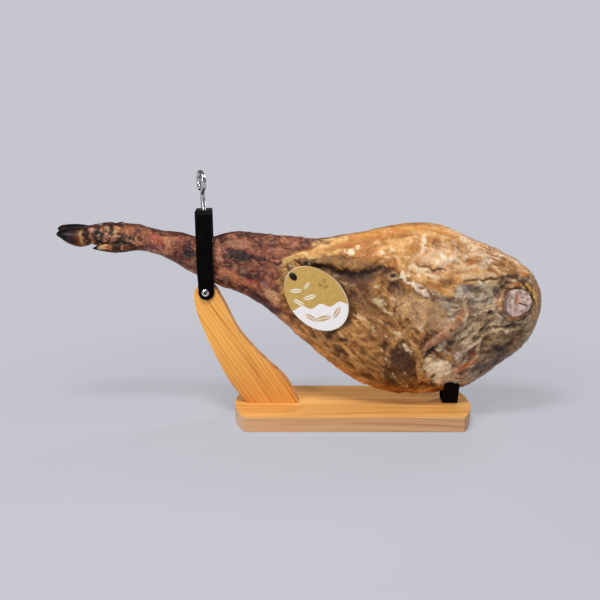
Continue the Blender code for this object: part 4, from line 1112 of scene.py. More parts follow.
# Dark muscle on the low right: partly its own colour, partly painted shade low on the ham.
under_lobe = patch(0.214, 0.090, 0.0360, 0.0160, 28, 0.6)
lay(under_lobe, (94, 69, 53), 0.75, -0.0010)
painted_glints_and_shade(under_lobe, streaks_rise, 0.20, (176, 146, 118), 0.60)
lay(stroke([(0.153, 0.080), (0.174, 0.093), (0.194, 0.107)], 0.0052), (186, 104, 52), 0.75, 0.0010)
lay(stroke([(0.158, 0.075), (0.184, 0.088), (0.206, 0.104)], 0.0022, 0.8), (74, 46, 31), 0.7, -0.0010)
lay(patch(0.164, 0.118, 0.0110, 0.0170, -10), (146, 119, 93), 0.6)
painted_glints_and_shade(patch(0.162, 0.110, 0.0060, 0.0090), n_speck, -0.20, (218, 200, 176), 0.7)

PELVIS = [(0.106, 0.118), (0.126, 0.136), (0.148, 0.155), (0.163, 0.173), (0.173, 0.184)]
PELVIS_SHADOW = [(0.112, 0.112), (0.134, 0.130), (0.155, 0.147), (0.167, 0.163)]
BONE_RIDGE = [(0.160, 0.222), (0.166, 0.203), (0.175, 0.176), (0.165, 0.160), (0.144, 0.139), (0.130, 0.122)]
lay(stroke(PELVIS, 0.0110, 0.3), (40, 26, 19), 0.45, -0.0008)
lay(stroke(PELVIS, 0.0072, 0.35, 0.5, False), (176, 124, 88), 0.95, 0.0022, moist=0.5)
painted_glints_and_shade(stroke(PELVIS, 0.0066, 0.35, 0.5, False), n_fine, 0.0, (186, 142, 108), 0.5, 0.0002)
lay(patch(0.168, 0.180, 0.0100, 0.0080, 40), (172, 118, 82), 0.80, 0.0012)
lay(stroke(PELVIS, 0.0070, 0.35, 0.5, False) * soft_step(n_speck, 0.15, 0.55), (92, 58, 42), 0.55, -0.0003)
lay(stroke(PELVIS_SHADOW, 0.0026, 0.7), (30, 19, 14), 0.95, -0.0026)
lay(stroke(BONE_RIDGE[2:], 0.0036), (216, 190, 152), 0.80, 0.0014, moist=0.7)
lay(stroke(BONE_RIDGE[:3], 0.0026), (208, 176, 136), 0.65, 0.0008)
lay(patch(0.151, 0.136, 0.0060, 0.0042), (30, 20, 16), 0.85, -0.0016)
lay(stroke([(0.136, 0.132), (0.140, 0.124), (0.143, 0.114)], 0.0022), (128, 124, 126), 0.6)
lay(patch(0.134, 0.161, 0.0080, 0.0060), (152, 124, 112), 0.5)
lay(patch(0.132, 0.175, 0.0100, 0.0060), (126, 98, 58), 0.5)
cream_area = patch(0.139, 0.080, 0.0330, 0.0190, -38, 0.6)
lay(cream_area, (250, 218, 176), 0.92, 0.0010, moist=0.6)
painted_glints_and_shade(cream_area, streaks_rise, -0.05, (246, 222, 184), 0.80, 0.0008)
painted_glints_and_shade(cream_area, -streaks_rise, 0.25, (110, 80, 56), 0.45, -0.0006)
lay(patch(0.123, 0.077, 0.0042, 0.0034), (42, 27, 20), 0.85, -0.0016)
lay(patch(0.154, 0.093, 0.0040, 0.0034), (50, 32, 24), 0.8, -0.0014)

oval_muscle = patch(0.074, 0.097, 0.0270, 0.0380, -20, 0.45)
lay(oval_muscle, (74, 45, 27), 0.85, 0.0010, moist=0.35)
painted_glints_and_shade(oval_muscle, streaks_down, 0.20, (128, 88, 54), 0.50, 0.0003)
lay(patch(0.064, 0.112, 0.0130, 0.0150), (50, 31, 22), 0.65)
lay(patch(0.074, 0.100, 0.0120, 0.0110), (104, 68, 50), 0.5)
lay(patch(0.082, 0.066, 0.0140, 0.0070), (140, 92, 46), 0.65)
lay(stroke([(0.046, 0.135), (0.043, 0.110), (0.050, 0.080), (0.068, 0.058)], 0.0026, 0.8), (38, 23, 16), 0.55, -0.0012)
lay(stroke([(0.088, 0.136), (0.102, 0.108), (0.103, 0.070)], 0.0046), (206, 152, 90), 0.7, 0.0010)
lay(stroke([(0.097, 0.138), (0.108, 0.128)], 0.0030), (110, 72, 46), 0.6)
lay(patch(0.100, 0.185, 0.0420, 0.0220, -30, 0.8), (222, 178, 128), 0.60)
lay(patch(0.010, 0.200, 0.0360, 0.0220, -20, 0.8), (84, 53, 32), 0.60)
lay(patch(0.040, 0.150, 0.0300, 0.0120, -50, 0.8), (84, 54, 34), 0.35)
LITTLE_GLINTS = [(0.035, 0.198, 0.010), (0.051, 0.183, 0.009), (0.011, 0.173, 0.007), (0.024, 0.158, 0.007),
                 (-0.018, 0.145, 0.008), (0.066, 0.150, 0.009), (0.080, 0.128, 0.008), (0.100, 0.160, 0.009)]
for x, z, length in LITTLE_GLINTS:
    lay(patch(x, z, length, length * 0.35, -42), (238, 206, 160), 0.65, 0.0005, moist=1.0)
lay(stroke([(0.057, 0.180), (0.064, 0.194), (0.077, 0.197)], 0.0018), (56, 34, 23), 0.6, -0.0010)
lay(stroke([(-0.030, 0.132), (-0.012, 0.118), (0.004, 0.108)], 0.0040), (222, 162, 92), 0.6)
lay(stroke([(-0.024, 0.150), (-0.002, 0.140), (0.014, 0.146)], 0.0030), (222, 168, 100), 0.5)
print("cut face painted")

# %% [markdown]
# ## Rind
# The back of a ham keeps its rind.  It is tougher and plainer than the face, but not smooth: shallow
# creases run across it where it shrank, bristle pores stay open, and a thin bloom of mould dries on it.

# %% Paint the rind
rind = (1 - face) * (1 - skin)
creases = ridge(grown(drawn_out(wander, 74.0, 2.5), 0.022, 81, 2), 0.07)
lay(rind * creases * soft_step(n_large, -0.5, 0.1), (98, 56, 28), 0.55, -0.0007)
both_ways(rind, fat_left, (208, 150, 84), (112, 66, 34), 0.45)
lay(rind * soft_step(n_speck, 0.35, 0.65), (92, 54, 29), 0.40, -0.0002)
lay(rind * soft_step(n_mid, 0.15, 0.8) * soft_step(n_fine, -0.1, 0.5), (206, 176, 132), 0.32)
lay(rind * soft_step(0.030 - from_low, 0.0, 0.025), (150, 86, 40), 0.5, moist=0.4)
wet *= 0.35 + 0.65 * face
print("rind painted")

# %% [markdown]
# ## Sparkle
# Painted highlights sit on the crests: tiny pale, wet points, drawn out along the fibres, standing in for glints of the
# lamps.

# %% Sparkle
painted_glints_and_shade(meat_left * soft_step(fibre, 0.0, 0.3), glint_specks, 0.60, (255, 232, 190), 0.60, 0.0002)
painted_glints_and_shade(meat_right * soft_step(fibre, 0.0, 0.3), glint_specks, 0.62, (246, 230, 204), 0.55, 0.0002)
painted_glints_and_shade(fat * soft_step(fat_folds, 0.0, 0.3), glint_specks, 0.52, (255, 238, 204), 0.65, 0.0002)
painted_glints_and_shade(skin * (1 - foot) * soft_step(streaks_level, 0.0, 0.3), glint_specks, 0.55, (214, 160, 124), 0.50)
painted_glints_and_shade(foot * soft_step(knobs, 0.0, 0.3), n_speck, 0.42, (232, 190, 150), 0.50)
print("sparkle laid")

# %% [markdown]
# ## Rims
# Along the bottom the trimmed rind shows as an orange lip.  At the butt the layers of skin, fat and
# meat dried one behind the other, so thin brown, olive and yellow lines run down its edge.

# %% Paint the rims
on_body = soft_step(X, -0.125, -0.100)
rim = face * on_body * (1 - soft_step(from_low + ragged_z, 0.007, 0.015)) * (1 - soft_step(X, 0.19, 0.23))
lay(rim, (170, 100, 42), 0.80, moist=0.6, grain=0.3)
lay(rim * soft_step(X, 0.06, 0.10) * (1 - soft_step(X, 0.13, 0.16)), (206, 132, 58), 0.5)
lay(rim * soft_step(-streaks_level, 0.1, 0.6), (104, 58, 27), 0.7, -0.0004)
lay(rim * soft_step(streaks_level, 0.2, 0.7), (232, 172, 98), 0.6, 0.0003)
left_rim = face * on_body * (1 - soft_step(from_low + ragged_z, 0.009, 0.021)) * (1 - soft_step(X, 0.00, 0.06))
lay(left_rim, (206, 148, 86), 0.60, moist=0.7)
both_ways(left_rim, fat_left, (236, 186, 122), (132, 82, 44), 0.60)
layers = np.sin((X + 0.7 * ragged_x + 0.0015 * n_large) * 2 * math.pi / 0.0068) + 0.6 * n_fine
butt = face * soft_step(X, 0.274, 0.286)
lay(butt, (204, 156, 106), 0.8)
lay(butt * soft_step(layers, 0.2, 0.9), (96, 66, 44), 0.50, -0.0005)
lay(butt * soft_step(-layers, 0.4, 0.95), (196, 152, 92), 0.5, 0.0003)
BONE_PLACE = (0.2530, 0.1930)
around_bone = np.hypot(PX - BONE_PLACE[0], (PZ - BONE_PLACE[1]) * 1.1) + 0.0022 * n_mid
collar = face * (1 - soft_step(np.abs(around_bone - 0.0272), 0.001, 0.0040))
outline = face * (1 - soft_step(np.abs(around_bone - 0.0318), 0.0006, 0.0028))
lay(collar * soft_step(n_fine, -0.5, 0.3), (204, 146, 88), 0.70, 0.0014, moist=0.8)
lay(collar * soft_step(-n_fine, 0.0, 0.5), (96, 62, 42), 0.60, 0.0004)
lay(outline * soft_step(n_mid, -0.3, 0.3), (40, 25, 18), 0.75, -0.0012)
lay(face * (1 - soft_step(around_bone, 0.0235, 0.0255)), (50, 31, 23), 0.8, -0.0008)
lay(patch(0.250, 0.170, 0.0120, 0.0036), (212, 130, 62), 0.8, 0.0008, moist=0.9)
lay(patch(0.256, 0.220, 0.0080, 0.0040), (206, 128, 66), 0.7, 0.0008, moist=0.9)
lay(stroke([(0.272, 0.219), (0.284, 0.206), (0.289, 0.188)], 0.0028, 0.4, 0.5, False), (226, 178, 88), 0.85, 0.0010, moist=0.9)
lay(stroke([(0.268, 0.217), (0.280, 0.204), (0.285, 0.188)], 0.0014, 0.4, 0.5, False), (30, 19, 14), 0.90, -0.0012)
print("rims painted")

# %% [markdown]
# ## Fine relief
# Under the painted features the ground itself is uneven: fibres across the meat, soft rolls in the
# fat, and wrinkles round the pastern.  Nothing is raised where the screw, the cradle or the tag
# touches, nor at the two ends, where the ham reaches its full length.

# %% Shape and mesh of the ham
relief += meat * (0.0011 * fibre + 0.0014 * n_mid + 0.0007 * n_fine + 0.0002 * n_speck)
relief += fat * (0.0018 * fat_folds + 0.0008 * n_mid + 0.0005 * n_fine)
relief += skin * (0.0006 * n_mid + 0.0005 * n_fine + 0.0007 * streaks_level)
relief += foot * (0.0016 * knobs + 0.0003 * n_speck)
relief += (1 - face) * (1 - skin) * (0.0012 * n_mid + 0.0003 * n_fine)
ends = soft_step(X, -0.428, -0.405) * (1 - soft_step(X, 0.276, 0.292))
relief *= ends


def keep_low(near):
    """Where near is 1, what stands proud is flattened and hollows stay."""
    global relief
    relief = relief - near * np.maximum(relief, 0.0)


low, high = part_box("bracket")
keep_low(soft_step(X, low.x - 0.012, low.x - 0.004) * (1 - soft_step(X, high.x + 0.004, high.x + 0.012)))
low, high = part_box("cradle")
keep_low(soft_step(X, low.x - 0.010, low.x) * (1 - soft_step(X, high.x, high.x + 0.010)) * (1 - soft_step(Z, high.z + 0.004, high.z + 0.012)))
low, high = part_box("tag")
tag_middle = (low + high) / 2
keep_low(face * (1 - soft_step(np.hypot(X - tag_middle.x, Z - tag_middle.z), 0.058, 0.068)))
ham_points = base + looks * relief[..., None]
ham = ring_mesh("cured_ham", ham_points, HOOF_POLE, BUTT_POLE)
pole_values = lambda grid: np.concatenate([grid.reshape(-1, *grid.shape[2:]), [grid[0].mean(axis=0), grid[-1].mean(axis=0)]])
hold_colours(ham, "tone", pole_values(tone))
hold_values(ham, "wet", pole_values(wet))
hold_values(ham, "grainy", pole_values(grainy))
hold_values(ham, "level", pole_values(np.maximum(right_side, fat)))
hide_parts("ham")
print("relief from", round(1000 * relief.min(), 2), "to", round(1000 * relief.max(), 2), "mm")

# %% [markdown]
# ## The finish of cured meat
# The painted colours say what lies where.  What is finer than a grain of rice comes from the shader:
# meat fibres, salt specks and pores.  Moist places are smooth and shine, and a little light enters
# the fat and comes out again, which takes the chalk out of it.

# %% Cured meat finish
def cured_finish(name):
    """tone is the painted colour, wet the moisture, grainy how fibrous, level which way fibres run."""
    cured = Finish(name, Subsurface_Weight=0.06, Subsurface_Scale=0.003, Specular_IOR_Level=0.36)
    cured.shader.inputs["Subsurface Radius"].default_value = (1.0, 0.45, 0.22)
    colour = cured.read("tone", "Color")
    moist = cured.read("wet")
    fibrous = cured.read("grainy")
    down = cured.noise(cured.laid(cured.place, turn=math.radians(46.0), size=FIBRE_SIZE), 1.0, 4.0, 0.6)
    level = cured.noise(cured.laid(cured.place, turn=math.radians(4.0), size=FIBRE_SIZE), 1.0, 4.0, 0.6)
    fibres = cured.between(cured.read("level"), down, level)
    mottle = cured.noise(cured.place, 210.0, 5.0, 0.6)
    pores = cured.cells(cured.place, 420.0)
    dark = cured.mix(1.0, colour, (0.30, 0.23, 0.19), "MULTIPLY")
    light = cured.mix(1.0, colour, (1.85, 1.80, 1.75), "MULTIPLY")
    busy = cured.step(fibrous, 0.0, 1.0, 0.40, 1.0)
    pale_fibres = cured.calc("MULTIPLY", fibrous, cured.step(fibres, 0.54, 0.68, 0.0, 0.55))
    dark_fibres = cured.calc("MULTIPLY", fibrous, cured.step(fibres, 0.46, 0.32, 0.0, 0.60))
    colour = cured.mix(pale_fibres, colour, light)
    colour = cured.mix(dark_fibres, colour, dark)
    colour = cured.mix(cured.calc("MULTIPLY", busy, cured.step(mottle, 0.55, 0.70, 0.0, 0.45)), colour, light)
    colour = cured.mix(cured.calc("MULTIPLY", busy, cured.step(mottle, 0.45, 0.30, 0.0, 0.55)), colour, dark)
    patchy = cured.noise(cured.place, 120.0, 4.0)
    shine = cured.calc("MULTIPLY", cured.calc("ADD", moist, 0.20), cured.step(patchy, 0.38, 0.56, 0.35, 1.0))
    rough = cured.step(shine, 0.0, 0.8, 0.50, 0.14)
    height = cured.calc("ADD", cured.calc("MULTIPLY", fibres, fibrous), mottle)
    height = cured.calc("ADD", height, cured.calc("MULTIPLY", pores, 0.1))
    return cured.surface(colour, rough, height, depth=0.0026, strength=1.0)


FIBRE_SIZE = (0.0170, 0.0034, 0.0034)
cured_meat = cured_finish("cured_meat_and_fat")
settle(ham, "root", cured_meat)
print("cured meat finish ready")

# %% [markdown]
# ## Hoof and dew claws
# The hoof is two toes of horn, and two small dew claws stand behind them.  Horn grows in rings, and
# it is dark at the tip and paler towards the hair line.  Each toe is a row of sections from the tip
# to the root, with a dome over the tip and growth rings in its radius.

# %% Horn pieces
TOE_SECTIONS = [  # x, middle z, half height, half width
    (-0.4618, 0.2981, 0.0031, 0.0037),
    (-0.4570, 0.2982, 0.0063, 0.0075),
    (-0.4450, 0.2955, 0.0120, 0.0105),
    (-0.4320, 0.2938, 0.0150, 0.0120),
    (-0.4200, 0.2934, 0.0151, 0.0120),
    (-0.4100, 0.2950, 0.0120, 0.0090),
]
CLAW_SECTIONS = [  # x, middle z, half height, half width
    (-0.4060, 0.2762, 0.0014, 0.0014),
    (-0.4035, 0.2764, 0.0026, 0.0026),
    (-0.3966, 0.2774, 0.0050, 0.0050),
    (-0.3880, 0.2788, 0.0080, 0.0070),
    (-0.3775, 0.2790, 0.0096, 0.0080),
    (-0.3660, 0.2786, 0.0090, 0.0080),
    (-0.3530, 0.2783, 0.0077, 0.0072),
    (-0.3400, 0.2788, 0.0064, 0.0058),
    (-0.3290, 0.2805, 0.0038, 0.0036),
]
TOE_CENTRE = 0.0128
CLAW_CENTRE = 0.0148
HORN_RINGS = 0.0031
HORN_RIPPLE = 0.00012


def horn(name, sections, centre, rise, reach, seed, flesh):
    """Sections joined by a smooth curve; round a section the radius follows a slightly square circle,
    cos and sin to the power 0.9.  Growth rings ripple the horn, lumps the flesh beyond x = flesh."""
    sections = np.array(sections)
    t = np.linspace(0, len(sections) - 1, 110)
    x, mid, tall, half = (column[:, None] for column in smooth_through(np.arange(len(sections)), sections, t).T)
    share = (x - sections[-1, 0]) / (sections[0, 0] - sections[-1, 0])
    angle = np.linspace(0, 2 * math.pi, 56, endpoint=False)
    ca, sa = np.cos(angle), np.sin(angle)
    y = centre + half * np.sign(ca) * np.abs(ca) ** 0.9
    z = mid + rise * share + tall * np.sign(sa) * np.abs(sa) ** 0.9
    rings = np.stack([x - reach * share + 0 * ca, y, z], axis=-1)
    outward = rings - rings.mean(axis=1, keepdims=True)
    outward /= np.linalg.norm(outward, axis=-1)[..., None]
    waves = np.sin((rings[..., 0] + 0.002 * lumps(rings, 0.008, seed)) * 2 * math.pi / HORN_RINGS)
    fleshy = soft_step(rings[..., 0], flesh - 0.004, flesh + 0.006)
    ripple = HORN_RIPPLE * waves * (1 - fleshy) * (1 - share) + 0.0011 * fleshy * grown(rings, 0.007, seed + 3, 3)
    rings = rings + outward * (ripple - 0.0002)[..., None]
    tip = rings[0].mean(axis=0) - np.array((0.0014, 0, 0))
    rings = np.concatenate([rounded_end(rings[0], tip, 7)[::-1], rings])
    return ring_mesh(name, rings, tip, rings[-1].mean(axis=0)), rings


def wear_horn(obj, rings, stops, seed, flesh, amber, border):
    """Colours by place along the horn, streaky, and mottled on the flesh.  Where the height, from -1
    at the sole to 1 on top, passes border the horn is nearly black."""
    place = rings[..., 0] + 0.0025 * grown(drawn_out(rings, 0, 3.0), 0.004, seed, 3)
    table = np.array([paint(*colour) for x, colour in stops])
    colours = np.stack([np.interp(place, [x for x, colour in stops], table[:, i]) for i in range(3)], axis=-1)

    def tint(mask, colour):
        return colours * (1 - mask[..., None]) + paint(*colour) * mask[..., None]

    height = rings[..., 2] - rings[..., 2].mean(axis=1, keepdims=True)
    height = height / (np.abs(height).max(axis=1, keepdims=True) + 1e-9)
    mottle = grown(rings, 0.006, seed + 5, 3)
    fleshy = soft_step(rings[..., 0], flesh - 0.004, flesh + 0.006)
    colours = tint(fleshy * soft_step(-mottle, 0.0, 0.4) * 0.8, (36, 19, 15))
    colours = tint(fleshy * soft_step(mottle, 0.1, 0.6) * 0.6, (186, 126, 88))
    colours = tint((1 - fleshy) * soft_step(-height + 0.20 * mottle, 0.55, 0.85) * amber, (150, 72, 32))
    colours = tint((1 - fleshy) * soft_step(-height + 0.15 * mottle, border + 0.06, border + 0.26) * 0.9, (18, 10, 9))
    colours = tint(soft_step(height + 0.15 * mottle, border, border + 0.24) * 0.9, (14, 8, 8))
    flat = colours.reshape(-1, 3)
    hold_colours(obj, "tone", np.concatenate([flat, [flat[0], flat[-1]]]))


keratin = Finish("horn", Specular_IOR_Level=0.17)
streak = keratin.noise(keratin.laid(keratin.place, size=(0.016, 0.002, 0.002)), 1.0, 4.0)
horn_tone = keratin.read("tone", "Color")
horn_dark = keratin.mix(1.0, horn_tone, (0.45, 0.38, 0.36), "MULTIPLY")
horn_colour = keratin.mix(keratin.step(streak, 0.4, 0.65, 0.0, 0.7), horn_tone, horn_dark)
horn_finish = keratin.surface(horn_colour, keratin.step(streak, 0.3, 0.7, 0.22, 0.40), streak, 0.0003, 0.6)

# The paler purple stop at -0.440 is a painted highlight on the near toe.
TOE_STOPS = [(-0.464, (16, 9, 9)), (-0.450, (20, 11, 12)), (-0.4435, (24, 12, 12)), (-0.440, (58, 36, 42)), (-0.437, (30, 14, 12)),
             (-0.431, (84, 38, 22)), (-0.427, (112, 58, 30)), (-0.422, (184, 140, 88)), (-0.418, (70, 40, 28)), (-0.410, (110, 70, 48))]
FAR_TOE_STOPS = [(-0.468, (40, 18, 16)), (-0.445, (24, 12, 11)), (-0.425, (60, 34, 26)), (-0.410, (96, 62, 44))]
CLAW_STOPS = [(-0.407, (10, 6, 6)), (-0.4005, (18, 10, 8)), (-0.397, (176, 136, 92)), (-0.388, (204, 160, 112)),
              (-0.384, (180, 104, 70)), (-0.376, (104, 58, 40)), (-0.358, (96, 56, 39)), (-0.330, (104, 58, 42))]
for name, sections, centre, rise, reach, stops, seed, flesh, amber, border in (
    ("toe_near", TOE_SECTIONS, -TOE_CENTRE, 0.0, 0.0, TOE_STOPS, 41, -0.423, 0.75, 0.58),
    ("toe_far", TOE_SECTIONS, TOE_CENTRE, 0.0055, 0.0045, FAR_TOE_STOPS, 42, -0.423, 0.4, 0.62),
    ("dew_claw_near", CLAW_SECTIONS, -CLAW_CENTRE, 0.0, 0.0, CLAW_STOPS, 43, -0.380, 0.0, 0.40),
    ("dew_claw_far", CLAW_SECTIONS, CLAW_CENTRE, 0.0, 0.0, CLAW_STOPS, 44, -0.380, 0.0, 0.40),
):
    piece, rings = horn(name, sections, centre, rise, reach, seed, flesh)
    wear_horn(piece, rings, stops, seed, flesh, amber, border)
    settle(piece, "root", horn_finish)

# %% [markdown]
# ## The sawn bone
# Near the butt the saw went through the thigh bone.  Its end is an oval of hard pale bone with a
# porous, greyish middle and a streak of yellow marrow.  It is a low drum with a rounded rim, made
# from rings that shrink towards the middle, and it sits in the meat square to the face there.

# %% Sawn bone end
BONE_HALF = (0.0248, 0.0222)
BONE_PROUD = 0.0034
near_bone = np.hypot(X - BONE_PLACE[0], Z - BONE_PLACE[1]) + (Y > 0)
row, column = np.unravel_index(np.argmin(near_bone), X.shape)
bone_out = Vector(looks[row, column]).normalized()
bone_at = Vector(base[row, column])
bone_side = Vector((0, 0, 1)).cross(bone_out).normalized()
bone_up = bone_out.cross(bone_side)
bone_frame = Matrix.Translation(bone_at) @ Matrix((bone_side, bone_up, bone_out)).transposed().to_4x4()
angle = np.linspace(0, 2 * math.pi, 120, endpoint=False)
wobble = 1 + 0.05 * np.sin(2 * angle + 0.6) + 0.04 * np.sin(3 * angle + 2.0) + 0.02 * np.sin(7 * angle)
share = np.concatenate([np.linspace(0.02, 0.90, 44), [0.94, 0.97, 0.99, 1.0, 1.0, 1.0]])[:, None]
depth = np.concatenate([np.zeros(44), [-0.0002, -0.0006, -0.0012, -0.0022, -0.0050, -0.0080]])[:, None]
bx = share * wobble * BONE_HALF[0] * np.cos(angle)
by = share * wobble * BONE_HALF[1] * np.sin(angle)
flat_points = np.stack([bx, by, 0 * bx], axis=-1)
porous = grown(flat_points + 0.5, 0.0045, 61, 3)
marrow = 1 - soft_step(np.hypot((bx + 0.0015) / 0.0040, (by - 0.0060) / 0.0100), 0.7, 1.2)
crack = 1 - soft_step(np.abs(by + 0.0025 + 0.35 * (bx - 0.008)) + 9 * np.maximum(0, np.abs(bx - 0.011) - 0.009), 0.0006, 0.0018)
inner = 1 - soft_step(share, 0.86, 0.96)
bz = BONE_PROUD + depth + inner * (0.00035 * porous - 0.0010 * marrow - 0.0012 * crack)
bone_points = moved(np.stack([bx, by, bz], axis=-1), bone_frame)
bone = ring_mesh("sawn_bone", bone_points, bone_points[0].mean(axis=0), bone_points[-1].mean(axis=0))
bone_tone = np.broadcast_to(paint(216, 184, 168), bone_points.shape).copy()


def tint_bone(mask, colour, cover):
    global bone_tone
    mask = (mask * cover * np.ones(bx.shape))[..., None]
    bone_tone = bone_tone * (1 - mask) + paint(*colour) * mask


tint_bone(soft_step(porous, 0.0, 0.8), (244, 222, 206), 0.85)
tint_bone(soft_step(-porous, 0.10, 0.9), (128, 96, 94), 0.6)
tint_bone(marrow, (196, 122, 70), 0.85)
tint_bone(crack, (52, 32, 28), 0.9)
tint_bone(soft_step(-bx, 0.010, 0.018) * soft_step(share, 0.78, 0.90), (70, 46, 38), 0.8)
tint_bone(soft_step(share, 0.93, 1.0), (120, 84, 66), 0.7)
flat = bone_tone.reshape(-1, 3)
hold_colours(bone, "tone", np.concatenate([flat, [flat[0], flat[-1]]]))
sawn = Finish("sawn_bone", Specular_IOR_Level=0.35)
bone_pores = sawn.cells(sawn.place, 900.0)
bone_read = sawn.read("tone", "Color")
bone_dark = sawn.mix(1.0, bone_read, (0.55, 0.45, 0.45), "MULTIPLY")
bone_colour = sawn.mix(sawn.step(bone_pores, 0.35, 0.1, 0.0, 0.5), bone_read, bone_dark)
settle(bone, "root", sawn.surface(bone_colour, 0.45, bone_pores, 0.0003, 0.6))

# %% [markdown]
# ## The tag
# An egg-shaped card is pinned to the ham with an oval button.  It has a gilt ground, a white field
# at its low end and some plain ornament.  The card is a disc of rings, and it carries its own flat
# measure, along and across, in a UV map, so the print follows the card wherever it is turned.

# %% Tag card
TAG_HALF_LENGTH = 0.0575
TAG_HALF_WIDTH = 0.0422
TAG_EGG = 0.035
TAG_TILT = math.radians(44.3)
TAG_YAW = math.radians(11.0)
TAG_THICK = 0.0008
yaw = Matrix.Rotation(-TAG_YAW, 3, "Z")
tag_along = yaw @ Vector((math.cos(TAG_TILT), 0.0, -math.sin(TAG_TILT)))
tag_across = yaw @ Vector((math.sin(TAG_TILT), 0.0, math.cos(TAG_TILT)))
tag_out = tag_along.cross(tag_across)
tag_frame = Matrix.Translation(tag_middle) @ Matrix((tag_along, tag_across, tag_out)).transposed().to_4x4()
angle = np.linspace(0, 2 * math.pi, 144, endpoint=False)
front_share = np.linspace(0.02, 0.985, 34)
rim_turn = np.linspace(0, math.pi, 7)
share = np.concatenate([front_share, 0.985 + 0.015 * np.sin(rim_turn[1:-1]), front_share[::-1]])[:, None]
lift = np.concatenate([np.ones(34), np.cos(rim_turn[1:-1]), -np.ones(34)])[:, None] * TAG_THICK / 2
egg_u = TAG_HALF_LENGTH * share * np.cos(angle)
egg_v = TAG_HALF_WIDTH * share * np.sin(angle) * (1 + TAG_EGG * np.cos(angle))
emboss = 0.00012 * (soft_step(share, 0.90, 0.915) - soft_step(share, 0.935, 0.95)) * np.sign(lift)
card_local = np.stack([egg_u, egg_v, lift + emboss + 0 * egg_u], axis=-1)
card_points = moved(card_local, tag_frame)
card = ring_mesh("tag_card", card_points, card_points[0].mean(axis=0), card_points[-1].mean(axis=0))
flat_uv = np.concatenate([card_local[..., :2].reshape(-1, 2), [(0, 0), (0, 0)]])
corner_points = np.zeros(len(card.data.loops), np.int32)
card.data.loops.foreach_get("vertex_index", corner_points)
card.data.uv_layers.new(name="card").data.foreach_set("uv", (flat_uv[corner_points] * 10 + 0.5).astype(np.float32).ravel())
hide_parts("tag")

# %% [markdown]
# ## Print on the card
# Print is colour without thickness, so it belongs in the shader.  The UV map is read back as metres.
# Simple distances then say where each ink lies: a gilt ground, a white field with a wavy edge, and a
# few leaves with a midrib.  None of it is lettering.


# %% Card finish
PALE_LEAVES = [(-0.030, -0.014, 50, 0.0120), (-0.014, -0.024, 20, 0.0120), (-0.008, -0.006, 65, 0.0130),
               (-0.024, 0.004, 100, 0.0090)]
GOLD_LEAVES = [(0.030, -0.014, 60, 0.0150), (0.038, 0.008, 105, 0.0130), (0.016, -0.027, 15, 0.0130)]
DARK_LEAVES = [(-0.010, 0.020, 20, 0.0060), (-0.002, 0.024, 80, 0.0060), (-0.010, 0.029, 140, 0.0060)]


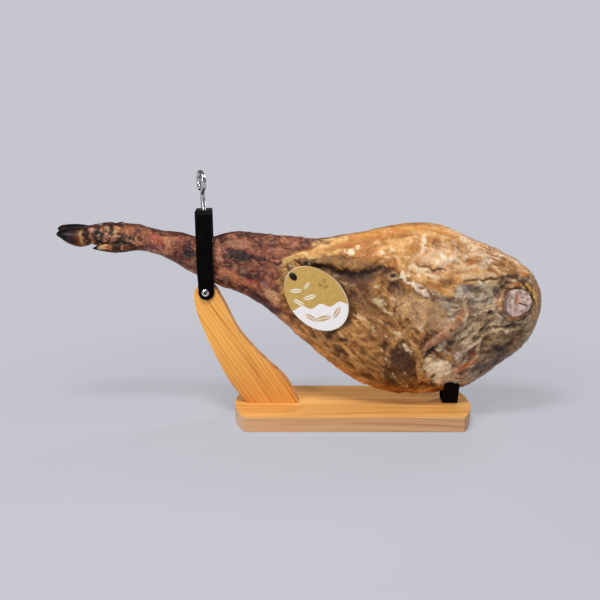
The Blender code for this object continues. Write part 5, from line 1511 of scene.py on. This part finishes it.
def card_finish():
    gilt = Finish("gilt_card", Specular_IOR_Level=0.3)
    uv = gilt.add("UVMap", 0, {}, uv_map="card")
    metres = gilt.add("VectorMath", 0, {0: uv, 1: (0.1, 0.1, 0.0), 2: (-0.05, -0.05, 0.0)}, operation="MULTIPLY_ADD")
    parts = gilt.tree.nodes.new("ShaderNodeSeparateXYZ")
    gilt.feed(parts.inputs[0], metres)
    along, across = parts.outputs[0], parts.outputs[1]
    egg = gilt.calc("SQRT", gilt.calc("ADD", gilt.calc("POWER", gilt.calc("DIVIDE", along, TAG_HALF_LENGTH), 2.0),
                                      gilt.calc("POWER", gilt.calc("DIVIDE", across, TAG_HALF_WIDTH), 2.0)))
    gold = gilt.mix(gilt.noise(metres, 160.0, 4.0), paint(206, 172, 96), paint(172, 134, 64))
    white_line = gilt.calc("ADD", gilt.calc("MULTIPLY", along, 0.80), gilt.calc("MULTIPLY", across, -0.60))
    sway = gilt.calc("SINE", gilt.calc("MULTIPLY", gilt.calc("ADD", along, across), 150.0))
    white_line = gilt.calc("MULTIPLY_ADD", sway, 0.0030, white_line)
    white = gilt.step(white_line, 0.0120, 0.0124)

    def leaf(at_along, at_across, turn, length, width):
        """A pointed leaf: inside where |aside| < width * (1 - (out along / length)^2), with a midrib."""
        local = gilt.laid(metres, at=(at_along, at_across, 0.0), flat_turn=math.radians(turn))
        axes = gilt.tree.nodes.new("ShaderNodeSeparateXYZ")
        gilt.feed(axes.inputs[0], local)
        out = gilt.calc("POWER", gilt.calc("ABSOLUTE", gilt.calc("DIVIDE", axes.outputs[0], length)), 2.0)
        edge = gilt.calc("MULTIPLY", gilt.calc("SUBTRACT", 1.0, out), width)
        aside = gilt.calc("ABSOLUTE", axes.outputs[1])
        blade = gilt.step(gilt.calc("SUBTRACT", edge, aside), 0.0, 0.0003)
        return gilt.calc("MULTIPLY", blade, gilt.step(aside, 0.0005, 0.0009))

    colour = gilt.mix(white, gold, paint(232, 228, 226))
    for at_along, at_across, turn, length in PALE_LEAVES:
        ink = gilt.calc("MULTIPLY", leaf(at_along, at_across, turn, length, 0.28 * length), 0.85)
        colour = gilt.mix(ink, colour, paint(238, 232, 218))
    for at_along, at_across, turn, length in GOLD_LEAVES:
        ink = gilt.calc("MULTIPLY", leaf(at_along, at_across, turn, length, 0.28 * length), 0.9)
        colour = gilt.mix(ink, colour, paint(186, 150, 78))
    for at_along, at_across, turn, length in DARK_LEAVES:
        ink = gilt.calc("MULTIPLY", leaf(at_along, at_across, turn, length, 0.34 * length), 0.8)
        colour = gilt.mix(ink, colour, paint(64, 46, 30))
    colour = gilt.mix(gilt.step(egg, 0.982, 0.986), colour, paint(222, 212, 190))
    back = gilt.add("NewGeometry", "Normal", {})
    sides = gilt.tree.nodes.new("ShaderNodeSeparateXYZ")
    gilt.feed(sides.inputs[0], back)
    colour = gilt.mix(gilt.step(sides.outputs[1], -0.2, 0.2), colour, paint(214, 206, 190))
    rough = gilt.step(white, 0.0, 1.0, 0.34, 0.5)
    return gilt.surface(colour, rough, gilt.noise(metres, 900.0, 3.0), 0.0001, 0.4)


settle(card, "root", card_finish())

# %% [markdown]
# ## The button
# The card hangs on a black plastic button: an oval dome with a raised rim and a pin behind it.  It is
# again rings, this time squashed to an oval whose long axis lies along the card.

# %% Button
BUTTON_AT = (-0.0487, -0.0012)
BUTTON_HALF = (0.0072, 0.0050, 0.0018)
PIN_RADIUS = 0.0022
angle = np.linspace(0, 2 * math.pi, 48, endpoint=False)
dome = np.linspace(0.04, 1.0, 22)
rise = np.sqrt(np.maximum(0, 1 - dome**2)) - 0.22 * np.exp(-(((dome - 0.62) / 0.10) ** 2))
lift = TAG_THICK / 2 + 0.0003
profile = [(d, d, lift + 0.0003 + BUTTON_HALF[2] * r * 0.85) for d, r in zip(dome, rise)]
profile += [(1.0, 1.0, lift), (PIN_RADIUS / BUTTON_HALF[0], PIN_RADIUS / BUTTON_HALF[1], lift)]
profile += [(PIN_RADIUS / BUTTON_HALF[0], PIN_RADIUS / BUTTON_HALF[1], -TAG_THICK / 2 - 0.0008)]
sx, sy, h = (np.array(profile)[:, i][:, None] for i in range(3))
oval = np.stack([sx * BUTTON_HALF[0] * np.cos(angle), sy * BUTTON_HALF[1] * np.sin(angle), h + 0 * angle], axis=-1)
button_frame = tag_frame @ Matrix.Translation((*BUTTON_AT, 0))
rings = moved(oval, button_frame)
button = ring_mesh("tag_button", rings, rings[0].mean(axis=0), rings[-1].mean(axis=0))
plastic = Finish("black_plastic", Specular_IOR_Level=0.25)
speckle = plastic.noise(plastic.place, 1200.0, 3.0)
ink = plastic.mix(speckle, paint(8, 6, 7), paint(22, 18, 19))
settle(button, "root", plastic.surface(ink, plastic.step(speckle, 0.3, 0.7, 0.28, 0.42), speckle, 0.0001, 0.4))
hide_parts("tag_rivet")

# %% [markdown]
# ## Size
# The dressed object has to keep the size of its solids, so both boxes are written out side by side.

# %% Finish
low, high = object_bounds()
print("dressed box:", [round(v, 4) for v in low], [round(v, 4) for v in high])
